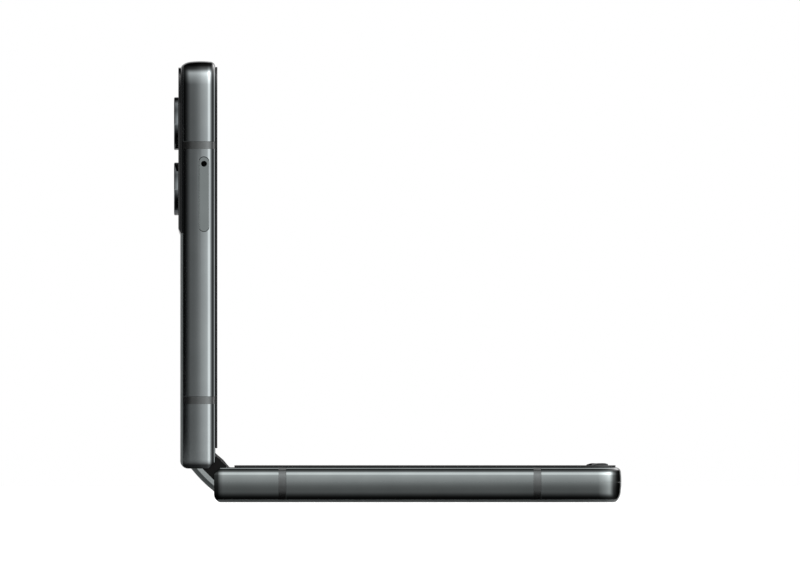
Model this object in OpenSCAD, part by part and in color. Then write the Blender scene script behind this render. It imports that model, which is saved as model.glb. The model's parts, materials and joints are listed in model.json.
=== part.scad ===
// Clamshell foldable phone, open at a right angle, its lower half flat on the table.
// A half is drawn lying flat: x runs from the fold to the free end, z = 0 is the display plane
// and the back is at z = -half_t. The lid is the same half mirrored and stood upright.
// The hinge spine is drawn as it lies between two flat halves, then turned by half the fold.

/* [Halves] */
// Length of a half from the fold to its free end
half_len = 82.6; // [78:0.1:90]
// Width across the side rails
body_w = 71.9; // [70:0.1:78]
// Thickness of a half
half_t = 7.1; // [6.9:0.1:8]
// Free corner radius in plan
corner_r = 9; // [7:0.5:12]
// Thickness of the rail wall
rail_wall = 1.7; // [1.5:0.1:2]
// Radius of the rail edge on the display side
display_edge_r = 1.1; // [0.6:0.1:1.3]
// How far the back edge draws in
back_edge_in = 1.6; // [1:0.1:2]
// Height over which the back edge draws in
back_edge_h = 2.6; // [2:0.1:3.2]
// Lean of the rail's face where it meets its two edges
side_lean = 6; // [3:0.5:8]
// Radius of the back corner beside the spine
hinge_corner_r = 1.6; // [0.8:0.1:2]
// Half of the gap between the halves when the phone is flat
end_gap = 0.12; // [0.1:0.01:0.2]
// Chamfer of the rail ends beside the fold, on the display side
end_chamfer = 1.4; // [1.2:0.1:1.6]
// Thickness of a back cover
cover_t = 0.55; // [0.4:0.05:0.6]
// Thickness of the floor that the display lies on
floor_t = 0.6; // [0.5:0.05:0.8]

/* [Display] */
// Thickness of the folding display
display_t = 0.7; // [0.5:0.05:0.8]
// Depth of the display surface under the rail plane
display_sink = 0.05; // [0.02:0.01:0.1]
// Frame left beyond the display at each side
display_side = 2.95; // [2.8:0.05:3.3]
// Frame left beyond the display at the free end
display_end = 2.2; // [2:0.1:3]
// Distance of a panel's stiff part from the fold
display_start = 1.3; // [1.2:0.05:1.5]
// Clearance between the crease strip and a panel's edge as it swings past
crease_clear = 0.05; // [0.03:0.01:0.1]
// Height of the lip above the rail plane
lip_h = 0.4; // [0.3:0.05:0.5]
// Width of the lip
lip_w = 2.2; // [1.8:0.1:2.6]
// Distance of the lip from the outer face of the rail
lip_inset = 1.2; // [1.1:0.1:1.5]
// Distance of the lip's start from the fold
lip_start = 4.3; // [4:0.1:6]
// Length of a rubber bumper
bumper_len = 3.6; // [2.5:0.1:5]
// Width of a rubber bumper
bumper_w = 1.3; // [0.8:0.1:1.6]
// Height of a bumper above the lip
bumper_h = 0.43; // [0.3:0.01:0.5]
// Distance of the bumper's middle from the free end
bumper_end = 4.2; // [3.5:0.1:6]

/* [Hinge] */
// Distance of each hinge axis from the fold plane
axis_x = 2.9; // [2.8:0.05:3]
// Depth of the hinge axes under the display plane
axis_z = 1.6; // [1.5:0.05:1.65]
// Outer radius of the spine about each hinge axis
spine_r = 4.34; // [4.2:0.01:4.4]
// Crown of the spine between the axes
spine_crown = 0.15; // [0.05:0.01:0.16]
// Wall of the spine channel
spine_wall = 0.5; // [0.4:0.05:0.6]
// Distance of the spine's ends from the rails' outer faces
spine_side = 1.95; // [1.95:0.05:2.6]
// Clearance at each end of the spine
spine_end_clear = 0.2; // [0.1:0.05:0.25]
// Height of the metal band at the spine's ends
band_h = 1.7; // [1.2:0.1:2]
// Thickness of the spine's metal end walls
band_t = 0.8; // [0.6:0.1:1]
// Length of an end cap along the hinge
cap_t = 0.85; // [0.6:0.05:0.9]
// Clearance between the spine and the halves
bay_clear = 0.25; // [0.2:0.01:0.3]
// Radius of a hinge shaft
shaft_r = 0.45; // [0.4:0.01:0.5]
// Radial clearance of an arm on its shaft
arm_fit = 0.03; // [0.02:0.01:0.06]
// Radial clearance of a shaft in its bracket
bracket_fit = 0.01; // [0.01:0.01:0.03]
// Distance of each hinge module from the middle
module_y = 19; // [17:0.5:20]
// Outer radius of an arm's hub
hub_r = 1.5; // [1.3:0.05:1.6]
// Width of an arm's hub
hub_w = 5; // [4:0.5:6]
// Thickness of an arm's plate
arm_t = 1; // [0.8:0.1:1.1]
// Width of an arm's plate
arm_plate_w = 12; // [10:0.5:14]
// Distance of the far end of an arm's plate from the fold
arm_end = 15.5; // [14:0.5:16]
// Thickness of the sheet under the display beside the fold
support_t = 0.2; // [0.15:0.05:0.25]
// Length of a detent spring
spring_len = 5; // [4:0.5:6]
// Thickness of a bracket rib
rib_t = 1; // [0.8:0.1:1.2]

/* [Back and cameras] */
// Length of the dark cover glass, from the free end
glass_len = 34; // [30:0.5:40]
// Height of the cover glass above the back cover
glass_rise = 0.39; // [0.2:0.01:0.5]
// Length of the slope at its lower edge
glass_slope = 0.8; // [0.5:0.1:1.2]
// Joint between the cover glass and the back cover
glass_gap = 0.1; // [0.05:0.05:0.15]
// Diameter of a camera ring
ring_d = 10.84; // [9.5:0.1:11.5]
// Height of a camera ring above the cover glass
ring_rise = 0.98; // [0.6:0.01:1.2]
// Distance of the first camera from the free end
camera_end = 11.87; // [11:0.01:14]
// Distance between the two cameras
camera_pitch = 13.36; // [12.5:0.01:15]
// Distance of the cameras from the side of the phone
camera_side = 11.95; // [11:0.05:14]
// Wall of a camera ring
ring_wall = 1.15; // [0.8:0.05:1.4]
// Step from a ring's outer edge in to the part that stands in the glass
ring_step = 0.6; // [0.4:0.05:0.8]
// Thickness of a camera's lens cover
lens_t = 0.6; // [0.4:0.05:0.8]
// Depth of the lens cover under the ring's face
lens_sink = 0.25; // [0.1:0.05:0.4]
// Diameter of the flash
flash_d = 3; // [2:0.1:4]
// Distance of the flash from the line of the cameras
flash_offset = 8.2; // [7.5:0.1:10]

/* [Rails] */
// Width of an antenna band
band_w = 1.5; // [1:0.1:2]
// Depth of an antenna band in the rail
band_d = 0.9; // [0.6:0.1:1]
// Distance of the outer bands from the free end
band_free = 17.15; // [14:0.05:19]
// Distance of the inner bands from the rail end at the fold
band_fold = 13.8; // [12:0.05:16]

/* [SIM tray] */
// Length of the tray's face
tray_len = 15; // [14:0.1:16]
// Height of the tray's face
tray_h = 1.9; // [1.7:0.1:2.2]
// Distance of the tray's middle from the free end
tray_end = 27.06; // [25:0.01:30]
// Depth of the tray's middle under the display plane
tray_z = 2.3; // [2.25:0.05:2.35]
// Depth of the tray from the face of the rail
tray_depth = 19; // [17:0.5:21]
// Diameter of the tray's pin hole
pin_hole_d = 1.2; // [0.8:0.1:1.3]
// Distance of the pin hole from the free end
pin_hole_end = 20.9; // [20.5:0.1:21.2]
// Clearance round the tray
tray_clear = 0.1; // [0.06:0.01:0.15]
// Thickness of the tray behind its face
tray_body_t = 1.2; // [1:0.05:1.3]
// Width of the pocket for the card
card_w = 9.2; // [8.9:0.1:9.6]
// Length of the pocket for the card
card_len = 12.8; // [12.4:0.1:13.2]
// Floor under the card
card_floor_t = 0.3; // [0.2:0.05:0.4]

/* [Keys] */
// Length of the volume key
volume_len = 17; // [14:0.5:18]
// Distance of the volume key's middle from the free end
volume_end = 28.6; // [28:0.1:30]
// Length of the side key
side_len = 12.5; // [10:0.5:14]
// Distance of the side key's middle from the free end
side_end = 47.6; // [46.5:0.1:50]
// Height of both keys
key_h = 2.5; // [2:0.1:3]
// Depth of the keys' middle under the display plane
key_z = 3.4; // [3.2:0.1:3.6]
// How far the keys stand out of the rail
key_proud = 0.35; // [0.2:0.05:0.5]
// Clearance round the keys
key_clear = 0.12; // [0.08:0.01:0.15]
// Travel of the side key
key_travel = 0.25; // [0.15:0.05:0.3]
// Width of the flange round a key
key_flange = 0.4; // [0.3:0.05:0.5]
// Thickness of the flange
key_flange_t = 0.5; // [0.4:0.05:0.6]
// Radius of the rib that the volume key rocks on
rocker_r = 0.6; // [0.55:0.05:0.65]
// Side of a key switch
switch_w = 2.6; // [2:0.1:3]
// Height of a key switch
switch_h = 1.8; // [1.4:0.1:2]

/* [Ports] */
// Width of the USB socket's opening
usb_w = 8.34; // [8.3:0.01:8.4]
// Height of the USB socket's opening
usb_h = 2.56; // [2.5:0.01:2.6]
// Wall of the USB socket's shell
usb_wall = 0.35; // [0.3:0.05:0.45]
// Depth of the USB socket
usb_depth = 7.4; // [6.6:0.1:8]
// Depth of the socket's middle under the display plane
usb_z = 3.9; // [3.7:0.1:4]
// Width of the tongue in the socket
tongue_w = 6.7; // [6.6:0.05:6.8]
// Thickness of the tongue
tongue_t = 0.7; // [0.65:0.05:0.75]
// Distance of the tongue's tip from the end of the phone
tongue_end = 1.1; // [0.8:0.1:1.4]
// Diameter of a loudspeaker hole
speaker_hole_d = 1.3; // [1:0.1:1.5]
// Number of loudspeaker holes
speaker_holes = 6; // [4:1:7]
// Distance between loudspeaker holes
speaker_pitch = 2.3; // [2:0.1:2.6]
// Distance of the first loudspeaker hole from the middle
speaker_y = 9; // [8:0.5:11]
// Diameter of the microphone hole
mic_hole_d = 0.9; // [0.7:0.1:1.1]
// Distance of the microphone hole from the middle
mic_y = 9.5; // [8:0.5:12]

/* [Inside] */
// Thickness of the wall between the hinge bay and the inside
bay_wall = 0.8; // [0.6:0.1:1]
// Thickness of both batteries
battery_t = 4.2; // [3.8:0.1:4.4]
// Room left beside a battery
battery_side = 6.25; // [4.5:0.25:9]
// Length of the base battery
base_battery_len = 38; // [34:0.5:40]
// Length of the lid battery
lid_battery_len = 21; // [18:0.5:22]
// Distance of both batteries from the fold
battery_x = 17.6; // [17:0.1:18]
// Outer diameter of the charging coil
coil_d = 34; // [28:0.5:36]
// Inner diameter of the charging coil
coil_bore_d = 16; // [12:0.5:20]
// Thickness of the charging coil
coil_t = 0.5; // [0.3:0.1:0.7]
// Thickness of the circuit boards
board_t = 0.7; // [0.5:0.1:0.8]
// Depth of the main board's upper face under the display plane
board_z = 3.3; // [3.2:0.05:3.5]
// Gap round things that lie beside each other inside
pack_gap = 0.3; // [0.2:0.05:0.4]
// Length of the sub board at the base's free end
sub_board_len = 16.7; // [15:0.1:17.5]
// Length of the loudspeaker's box
speaker_len = 13.9; // [11:0.1:14.5]
// Box beyond the first loudspeaker hole
speaker_near = 1.2; // [1:0.1:1.4]
// Box beyond the last loudspeaker hole
speaker_beyond = 4; // [1.5:0.5:4]
// Side of the microphone
mic_w = 3; // [2.5:0.1:3.4]
// Diameter of the vibration motor
motor_d = 7.8; // [6:0.1:8]
// Thickness of the vibration motor
motor_t = 3; // [2.4:0.1:3.6]
// Distance of the vibration motor from the middle
motor_y = 20; // [17:0.5:22]
// Length and width of the processor's shield can
processor_can = [14, 22];
// Length and width of the radio's shield can
radio_can = [12, 13.5];
// Length and width of the power supply's shield can
power_can = [11, 28];
// Height of the shield cans
can_h = 1.5; // [1:0.1:2]
// Wall of the shield cans
can_wall = 0.2; // [0.1:0.05:0.3]
// Gap between the shield cans
can_gap = 3; // [2:0.5:4]
// Distance of the shield cans from the board's lower edge
can_margin = 4.7; // [4:0.1:6]
// Width of the notch in the main board's end
notch_w = 24; // [20:0.5:26]
// Depth of the notch
notch_d = 6; // [4:0.5:7]
// Width of the earpiece
earpiece_w = 14; // [12:0.5:16]
// Length of the earpiece's slot in the lip
earpiece_slot_len = 8; // [6:0.5:10]
// Width of the earpiece's slot
earpiece_slot_w = 0.5; // [0.3:0.1:0.8]
// Thickness of the earpiece
earpiece_t = 2.6; // [2:0.1:3]
// Side of a camera module
camera_w = 9.6; // [8.5:0.1:10]
// Diameter of a camera module's barrel
barrel_d = 6.6; // [5.5:0.1:7.2]
// Width of the cover display
cover_display_w = 36; // [30:0.5:37]
// Length of the cover display
cover_display_len = 22; // [16:0.5:26]
// Distance of the cover display from the dark glass's lower edge
cover_display_x = 5; // [3:0.5:8]
// Diameter of the selfie camera
selfie_d = 4.2; // [3.4:0.1:4.8]
// Distance of the selfie camera from the free end
selfie_end = 6.6; // [6:0.1:7.5]
// Depth of the selfie camera under the floor
selfie_depth = 2.4; // [2:0.1:3]
// Diameter of a screw's head
screw_head_d = 2; // [1.6:0.1:2.2]
// Diameter of a screw's shank
screw_d = 1; // [0.8:0.1:1.2]
// Clearance in diameter round a screw
screw_clear = 0.1; // [0.05:0.05:0.2]
// Thickness of a screw's head
screw_head_t = 0.4; // [0.3:0.05:0.5]
// Distance of the board screws from the edges of their board
screw_edge = 3; // [2.5:0.1:3.5]
// Width of the flat cable through the hinge
cable_w = 12; // [8:0.5:16]
// Thickness of the flat cable
cable_t = 0.15; // [0.1:0.05:0.25]

/* [Hidden] */

fine = 64;
eps = 0.01;

rail_colour = "#3f4744";
cover_colour = "#565d5a";
black = "#131516";
steel = "#b9bdbf";
copper = "#b4703c";
board_green = "#1f4a37";

// Where the two display planes meet, from the fold end of a half
fold_x = axis_z - (sqrt(2) - 1) * axis_x;
// The lid stands on the base's display plane with its back towards -x
lid_back_x = fold_x - half_t - glass_rise - ring_rise;
mid_x = (lid_back_x + half_len) / 2;
mid_y = key_proud / 2;

cover_z = -(half_t - cover_t);
cover_angle = asin((cover_z + half_t - back_edge_h) / back_edge_h);

// The rail's face is a shallow bow that runs into both edges
back_start = -atan(tan(side_lean) * back_edge_h / back_edge_in);
display_edge_h = display_edge_r * (1 - sin(side_lean));
bow_h = half_t - display_edge_h - back_edge_h * (1 + sin(back_start));
bow_r = bow_h / 2 / sin(side_lean);
bow_z = -display_edge_h - bow_h / 2;
bow_in = bow_r * (1 - cos(side_lean));
display_w = body_w - 2 * display_side;
display_z = -display_sink;
display_bottom = -display_sink - display_t;
floor_z = display_bottom - floor_t;
inside_w = body_w - 2 * rail_wall;
inside_end = half_len - rail_wall;
support_z = display_bottom - support_t;

spine_len = body_w - 2 * spine_side;
bay_w = spine_len + 2 * spine_end_clear;
bay_x = axis_x + spine_r + bay_clear;
bay_depth = axis_z + spine_r + spine_crown + 0.16;
inside_x = bay_x + bay_wall;
support_end = arm_end + 0.9;

arm_top = support_z - 0.05;
arm_bottom = arm_top - arm_t;
arm_plate_x = bay_x + 0.2;
arm_clear = 0.1;
screw_x = arm_end - 3.5;
screw_y = arm_plate_w / 2 - 2;
boss_z = arm_bottom - 1.2;
boss_end = support_end + 0.4;
boss_w = arm_plate_w + 2.4;
rim_z = arm_bottom - bay_clear;

spine_inner_r = spine_r - spine_wall;
spine_floor = -(axis_z + spine_inner_r);
bracket_post_w = 1.4;
bracket_floor_t = 0.7;
follower_gap = 0.3;
module_inner = hub_w / 2 + 0.2;
follower_t = 0.8;
spring_start = module_inner + follower_t + 0.1;
outer_rib = spring_start + spring_len + 0.1;
bracket_r = 0.7;
post_half = 0.4;

// The panel's edge swings about its hinge axis and passes below the crease strip
edge_swing_r = sqrt(pow(axis_x - display_start, 2) + pow(axis_z - display_sink, 2));
crease_half = axis_x - sqrt(pow(edge_swing_r, 2) - pow(axis_z + display_bottom, 2)) - crease_clear;
crease_bottom = display_bottom - 0.25;

// The end caps fill the spine's ends up to the flat that the closed lips pass
cap_top = axis_z - 1.16;
cap_half = 1.47;

camera_y = body_w / 2 - camera_side;
camera_x = [half_len - camera_end, half_len - camera_end - camera_pitch];
lens_z = -half_t - glass_rise - ring_rise + lens_sink;
glass_x = half_len - glass_len;
glass_foot = glass_x - glass_slope;
glass_top = half_t + glass_rise;
glass_edge_in = back_edge_in - 0.3;
cover_display_y = -7;
flash_at = [(camera_x[0] + camera_x[1]) / 2, camera_y - flash_offset];
tray_x = half_len - tray_end;
tray_body_w = tray_len - 2;
tray_tip = -body_w / 2 + tray_depth;
pin_hole_x = half_len - pin_hole_end;
volume_x = half_len - volume_end;
side_x = half_len - side_end;
flange_y = inside_w / 2 - 0.2;
switch_y = flange_y - key_flange_t - key_travel - 0.05;
strip_t = 0.2;
speaker_far = speaker_y + (speaker_holes - 1) * speaker_pitch;
battery_w = inside_w - 2 * battery_side;
board_x = battery_x + lid_battery_len + pack_gap;
board_bottom = -(board_z + board_t);
board_end = inside_end - pack_gap;
board_w = inside_w - 2 * pack_gap;
board_corner_r = corner_r - rail_wall - pack_gap;
board_start = board_x + pack_gap;
board_y = [-board_w / 2, switch_y - switch_h - strip_t - pack_gap];
board_screws = [[board_start + screw_edge, board_y[0] + screw_edge], [board_end - 9, 9],
    [board_start + screw_edge, board_y[1] - screw_edge]];

// The sub board stands on the USB socket's shell
sub_board_x = board_end - sub_board_len;
sub_board_z = [-usb_z + usb_h / 2 + usb_wall, -usb_z + usb_h / 2 + usb_wall + board_t];
sub_board_y = [-board_w / 2, speaker_y - speaker_near - pack_gap];
sub_screw_x = [sub_board_x + screw_edge, board_end - 4.7];
sub_screw_y = sub_board_y[0] + screw_edge;

module on_base() translate([-mid_x, -mid_y, half_t]) children();

module on_lid() translate([fold_x - mid_x, -mid_y, half_t - fold_x]) mirror([1, 0, -1]) children();

module on_spine()
    translate([axis_x - mid_x, -mid_y, half_t - axis_z])
        rotate([0, 45, 0])
            translate([-axis_x, 0, axis_z]) children();

module both_sides() for (side = [0, 1]) mirror([0, side, 0]) children();

// Points along an arc of an ellipse about c
function arc_points(c, rx, rz, from, to, steps = 8) =
    [for (i = [0:steps]) let(a = from + (to - from) * i / steps) [c[0] + rx * cos(a), c[1] + rz * sin(a)]];

// A box between pairs of coordinates
module block(x, y, z) translate([x[0], y[0], z[0]]) cube([x[1] - x[0], y[1] - y[0], z[1] - z[0]]);

// A plate that is square towards the fold and rounded at the free end
module end_plate(x, w, z, r)
    translate([0, 0, z[0]]) linear_extrude(z[1] - z[0]) {
        translate([x[0], -w / 2]) square([x[1] - r - x[0], w]);
        translate([x[0], r - w / 2]) square([x[1] - x[0], w - 2 * r]);
        for (side = [-1, 1]) translate([x[1] - r, side * (w / 2 - r)]) circle(r, $fn = fine);
    }

// A slot outline with round ends, len long and h high
module slot_outline(len, h) {
    square([len - h, h], center = true);
    for (side = [-1, 1]) translate([side * (len - h) / 2, 0]) circle(h / 2, $fn = 32);
}

// A slot outline in the x-z plane, drawn along y between two places
module side_slot(x, z, len, h, y)
    translate([x, y[1], z]) rotate([90, 0, 0]) linear_extrude(y[1] - y[0]) slot_outline(len, h);

function back_arc(r, from, to) =
    arc_points([r - bow_in - back_edge_in * cos(back_start), back_edge_h - half_t],
        back_edge_in, back_edge_h, from, to);

// The bow's points without its ends, which the two edges have
function bow_arc(r) =
    [for (i = [1:5]) let(a = side_lean * (1 - i / 3)) [r - bow_r + bow_r * cos(a), bow_z + bow_r * sin(a)]];

function display_arc(r) = arc_points([r - bow_in - display_edge_r * cos(side_lean), -display_edge_r],
    display_edge_r, display_edge_r, 90, side_lean);

// The edge of a half seen from its end, r from the middle to the outer face: its back cover or its rail
module edge_profile(r, cover)
    polygon(cover
        ? concat([[0, -half_t], [0, cover_z]], back_arc(r, cover_angle, -90))
        : concat([[0, cover_z], [0, 0]],
            display_arc(r), bow_arc(r), back_arc(r, back_start, cover_angle)));

// The half seen from the side, with the chamfer and the round corner beside the fold
module side_profile()
    polygon(concat(
        [[end_gap, -end_chamfer], [end_gap + end_chamfer, 0], [end_gap + end_chamfer, 1],
         [half_len + 1, 1], [half_len + 1, -half_t - 1], [end_gap + hinge_corner_r, -half_t - 1]],
        arc_points([end_gap + hinge_corner_r, hinge_corner_r - half_t],
            hinge_corner_r, hinge_corner_r, -90, -180)));

// The outer form of a half, above its back cover or the cover alone
module half_solid(cover = false)
    intersection() {
        union() {
            rotate([90, 0, 90]) linear_extrude(half_len - corner_r)
                for (side = [0, 1]) mirror([side, 0]) edge_profile(body_w / 2, cover);
            rotate([90, 0, 0]) linear_extrude(body_w - 2 * corner_r, center = true)
                translate([half_len - corner_r, 0]) edge_profile(corner_r, cover);
            both_sides() translate([half_len - corner_r, body_w / 2 - corner_r, 0])
                rotate_extrude(angle = 90, $fn = 96) edge_profile(corner_r, cover);
        }
        rotate([90, 0, 0]) linear_extrude(body_w + 2, center = true) side_profile();
    }

// The room that the spine turns in
module hinge_bay()
    rotate([90, 0, 0]) linear_extrude(bay_w, center = true) {
        translate([axis_x, -axis_z]) circle(spine_r + bay_clear, $fn = fine);
        translate([-1, -bay_depth]) square([axis_x + 1, bay_depth + 1]);
        translate([-1, -axis_z]) square([bay_x + 1, axis_z + 1]);
    }

module at_arms() both_sides() translate([0, module_y, 0]) children();

module at_arm_screws() at_arms() for (side = [-1, 1]) translate([screw_x, side * screw_y, 0]) children();

module band_space()
    both_sides() for (x = [half_len - band_free, end_gap + band_fold])
        block([x - band_w / 2, x + band_w / 2], [body_w / 2 - band_d, body_w], [-half_t - 1, 1]);

// Rails and floor of a half, with what both halves cut into them
module half_frame()
    difference() {
        union() {
            difference() {
                half_solid();
                end_plate([inside_x, inside_end], inside_w, [cover_z - 1, floor_z], corner_r - rail_wall);
            }
            at_arms() block([bay_x, boss_end], [-boss_w / 2, boss_w / 2], [boss_z, floor_z + eps]);
        }
        end_plate([-1, half_len - display_end], display_w, [display_bottom, 1], corner_r - display_end);
        block([-1, support_end], [-display_w / 2, display_w / 2], [support_z, 1]);
        hinge_bay();
        band_space();
        at_arms() block([bay_x - 1, arm_end + arm_clear],
            [-arm_plate_w / 2 - arm_clear, arm_plate_w / 2 + arm_clear], [arm_bottom, 1]);
        at_arm_screws() translate([0, 0, boss_z + 0.3]) cylinder(d = screw_d, h = half_t, $fn = fine);
    }

module half_bands()
    intersection() {
        half_solid();
        band_space();
    }

// A back cover between two distances from the fold
module half_cover(x)
    intersection() {
        half_solid(cover = true);
        block(x, [-body_w, body_w], [-half_t - 1, 1]);
    }

module half_lip()
    difference() {
        end_plate([lip_start, half_len - lip_inset], body_w - 2 * lip_inset, [0, lip_h], corner_r - lip_inset);
        end_plate([lip_start - 1, half_len - lip_inset - lip_w], body_w - 2 * (lip_inset + lip_w),
            [-1, lip_h + 1], corner_r - lip_inset - lip_w);
    }

module half_display()
    end_plate([display_start, half_len - display_end], display_w, [display_bottom, display_z],
        corner_r - display_end);

module half_support()
    block([axis_x + hub_r - arm_clear, support_end], [-display_w / 2, display_w / 2],
        [support_z, display_bottom]);

// An arm is screwed to its half and turns on a hinge shaft
module half_arms()
    difference() {
        at_arms() {
            block([arm_plate_x, arm_end], [-arm_plate_w / 2, arm_plate_w / 2], [arm_bottom, arm_top]);
            block([axis_x, arm_plate_x + 1], [-hub_w / 2, hub_w / 2], [arm_bottom, arm_top]);
            intersection() {
                translate([axis_x, 0, -axis_z]) rotate([90, 0, 0])
                    cylinder(r = hub_r, h = hub_w, center = true, $fn = fine);
                block([0, arm_end], [-hub_w, hub_w], [-half_t, display_bottom - 0.05]);
            }
        }
        at_arms() translate([axis_x, 0, -axis_z]) rotate([90, 0, 0])
            cylinder(r = shaft_r + arm_fit, h = hub_w + 2, center = true, $fn = fine);
        at_arm_screws() {
            screw_hole();
            translate([0, 0, arm_top - screw_head_t])
                cylinder(d = screw_head_d + screw_clear, h = 1, $fn = fine);
        }
    }

module screw(top, bottom) {
    translate([0, 0, top - screw_head_t]) cylinder(d = screw_head_d, h = screw_head_t, $fn = fine);
    translate([0, 0, bottom]) cylinder(d = screw_d, h = top - bottom - screw_head_t + eps, $fn = fine);
}

// A pouch cell with its seal folded along one end
module battery(len) {
    block([battery_x, battery_x + len], [-battery_w / 2, battery_w / 2], [floor_z - battery_t, floor_z]);
    block([battery_x + len - 0.1, battery_x + len + 0.2], [-battery_w / 2 + 2, battery_w / 2 - 2],
        [floor_z - battery_t / 2, floor_z]);
}

// Base half

module usb_outline(grow) slot_outline(usb_w + 2 * grow, usb_h + 2 * grow);

module usb_prism(grow, x)
    translate([x[0], 0, -usb_z]) rotate([90, 0, 90]) linear_extrude(x[1] - x[0]) usb_outline(grow);

module end_hole(y, d)
    translate([inside_end - 1, y, -usb_z]) rotate([0, 90, 0]) cylinder(d = d, h = rail_wall + 2, $fn = fine);

module base_frame() on_base() color(rail_colour) difference() {
    half_frame();
    usb_prism(usb_wall, [inside_end - 1, half_len + 1]);
    for (i = [0:speaker_holes - 1]) end_hole(speaker_y + i * speaker_pitch, speaker_hole_d);
    end_hole(-mic_y, mic_hole_d);
}

module base_antenna_bands() on_base() color("#2f3533") half_bands();

module base_back_cover() on_base() color(cover_colour) half_cover([0, half_len + 1]);

module base_display_lip() on_base() color(black) half_lip();

// Two domes on the lip hold the closed halves apart
module base_bumpers() on_base() color("#26292a")
    both_sides() translate([half_len - bumper_end, body_w / 2 - lip_inset - lip_w / 2, lip_h])
        intersection() {
            linear_extrude(bumper_h) slot_outline(bumper_len, bumper_w);
            dome_r = (pow(bumper_len / 2, 2) + pow(bumper_h, 2)) / (2 * bumper_h);
            translate([0, 0, bumper_h - dome_r]) rotate([90, 0, 0])
                cylinder(r = dome_r, h = bumper_w + 1, center = true, $fn = fine);
        }

module base_display_panel() on_base() color("#08090a") half_display();

module base_support_sheet() on_base() color(steel) half_support();

module base_hinge_arms() on_base() color(steel) half_arms();

module base_screws() on_base() color(steel) {
    at_arm_screws() screw(arm_top, boss_z + 0.3);
    mirror([0, 0, 1]) for (x = sub_screw_x)
        translate([x, sub_screw_y, 0]) screw(-sub_board_z[0] + screw_head_t, -floor_z);
}

module base_battery() on_base() color("#24282b") battery(base_battery_len);

module charging_coil() on_base() color(copper)
    translate([battery_x + base_battery_len / 2, 0, floor_z - battery_t - coil_t]) difference() {
        cylinder(d = coil_d, h = coil_t, $fn = fine);
        translate([0, 0, -1]) cylinder(d = coil_bore_d, h = coil_t + 2, $fn = fine);
    }

// A board with the end corners of the room inside, between two places across
module board_plate(x, y, z)
    intersection() {
        end_plate([x, board_end], board_w, z, board_corner_r);
        block([x, board_end], y, [z[0] - 1, z[1] + 1]);
    }

module screw_hole() translate([0, 0, -half_t]) cylinder(d = screw_d + screw_clear, h = half_t, $fn = fine);

module sub_board() on_base() color(board_green) difference() {
    board_plate(sub_board_x, sub_board_y, sub_board_z);
    for (x = sub_screw_x) translate([x, sub_screw_y, 0]) screw_hole();
}

// The socket's metal shell, open at the rail
module usb_socket() on_base() color(steel) difference() {
    usb_prism(usb_wall, [half_len - usb_depth - usb_wall, half_len - 0.1]);
    usb_prism(0, [half_len - usb_depth, half_len + 1]);
}

module usb_tongue() on_base() color(black)
    block([half_len - usb_depth, half_len - tongue_end], [-tongue_w / 2, tongue_w / 2],
        [-usb_z - tongue_t / 2, -usb_z + tongue_t / 2]);

module loudspeaker() on_base() color("#2b2f31")
    block([inside_end - 0.1 - speaker_len, inside_end - 0.1],
        [speaker_y - speaker_near, speaker_far + speaker_beyond], [cover_z + pack_gap, floor_z - 0.1]);

module microphone() on_base() color(steel)
    block([inside_end - 0.1 - mic_w, inside_end - 0.1], [-mic_y - mic_w / 2, -mic_y + mic_w / 2],
        [-usb_z - mic_hole_d, sub_board_z[0]]);

// The motor hangs under the sub board
module vibration_motor() on_base() color(steel)
    translate([sub_board_x + motor_d / 2 + 1, -motor_y, sub_board_z[0] - motor_t])
        cylinder(d = motor_d, h = motor_t, $fn = fine);

// Lid half

module key_space(x, len, grow, y) side_slot(x, -key_z, len + 2 * grow, key_h + 2 * grow, y);

module tray_space(grow, y) side_slot(tray_x, -tray_z, tray_len + 2 * grow, tray_h + 2 * grow, y);

module lid_frame() on_lid() color(rail_colour) difference() {
    half_frame();
    tray_space(tray_clear, [-body_w, -inside_w / 2 + eps]);
    key_space(volume_x, volume_len, key_clear, [inside_w / 2 - eps, body_w]);
    key_space(side_x, side_len, key_clear, [inside_w / 2 - eps, body_w]);
    selfie_hole(0);
}

module selfie_hole(grow)
    translate([half_len - selfie_end, 0, -half_t])
        cylinder(d = selfie_d + 2 * grow, h = half_t + 1, $fn = fine);

module lid_antenna_bands() on_lid() color("#2f3533") half_bands();

module lid_back_cover() on_lid() color(cover_colour) half_cover([0, glass_foot - glass_gap]);

module lid_display_lip() on_lid() color(black) difference() {
    half_lip();
    translate([half_len - lip_inset - lip_w / 2, 0, -1]) rotate([0, 0, 90])
        linear_extrude(3) slot_outline(earpiece_slot_len, earpiece_slot_w);
}

module lid_display_panel() on_lid() color("#08090a") difference() {
    half_display();
    selfie_hole(0);
}

module lid_support_sheet() on_lid() color(steel) half_support();

module lid_hinge_arms() on_lid() color(steel) half_arms();

module lid_screws() on_lid() color(steel) {
    at_arm_screws() screw(arm_top, boss_z + 0.3);
    mirror([0, 0, 1]) for (p = board_screws)
        translate([p[0], p[1], 0]) screw(-board_bottom + screw_head_t, -floor_z);
}

module lid_battery() on_lid() color("#24282b") battery(lid_battery_len);

module camera_room(grow)
    for (x = camera_x) block([x - camera_w / 2 - grow, x + camera_w / 2 + grow],
        [camera_y - camera_w / 2 - grow, camera_y + camera_w / 2 + grow], [cover_z, floor_z]);

module main_board() on_lid() color(board_green) difference() {
    board_plate(board_start, board_y, [board_bottom, -board_z]);
    camera_room(pack_gap);
    selfie_hole(pack_gap);
    for (p = board_screws) translate([p[0], p[1], 0]) screw_hole();
    block([inside_end - notch_d, inside_end], [-notch_w / 2, notch_w / 2], [-half_t, 0]);
}

// A pressed can over the chips on the board's back, open towards the board
module shield_can(x, y, size)
    difference() {
        block([x, x + size[0]], [y, y + size[1]], [board_bottom - can_h, board_bottom]);
        block([x + can_wall, x + size[0] - can_wall], [y + can_wall, y + size[1] - can_wall],
            [board_bottom - can_h + can_wall, board_bottom + 1]);
    }

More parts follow.
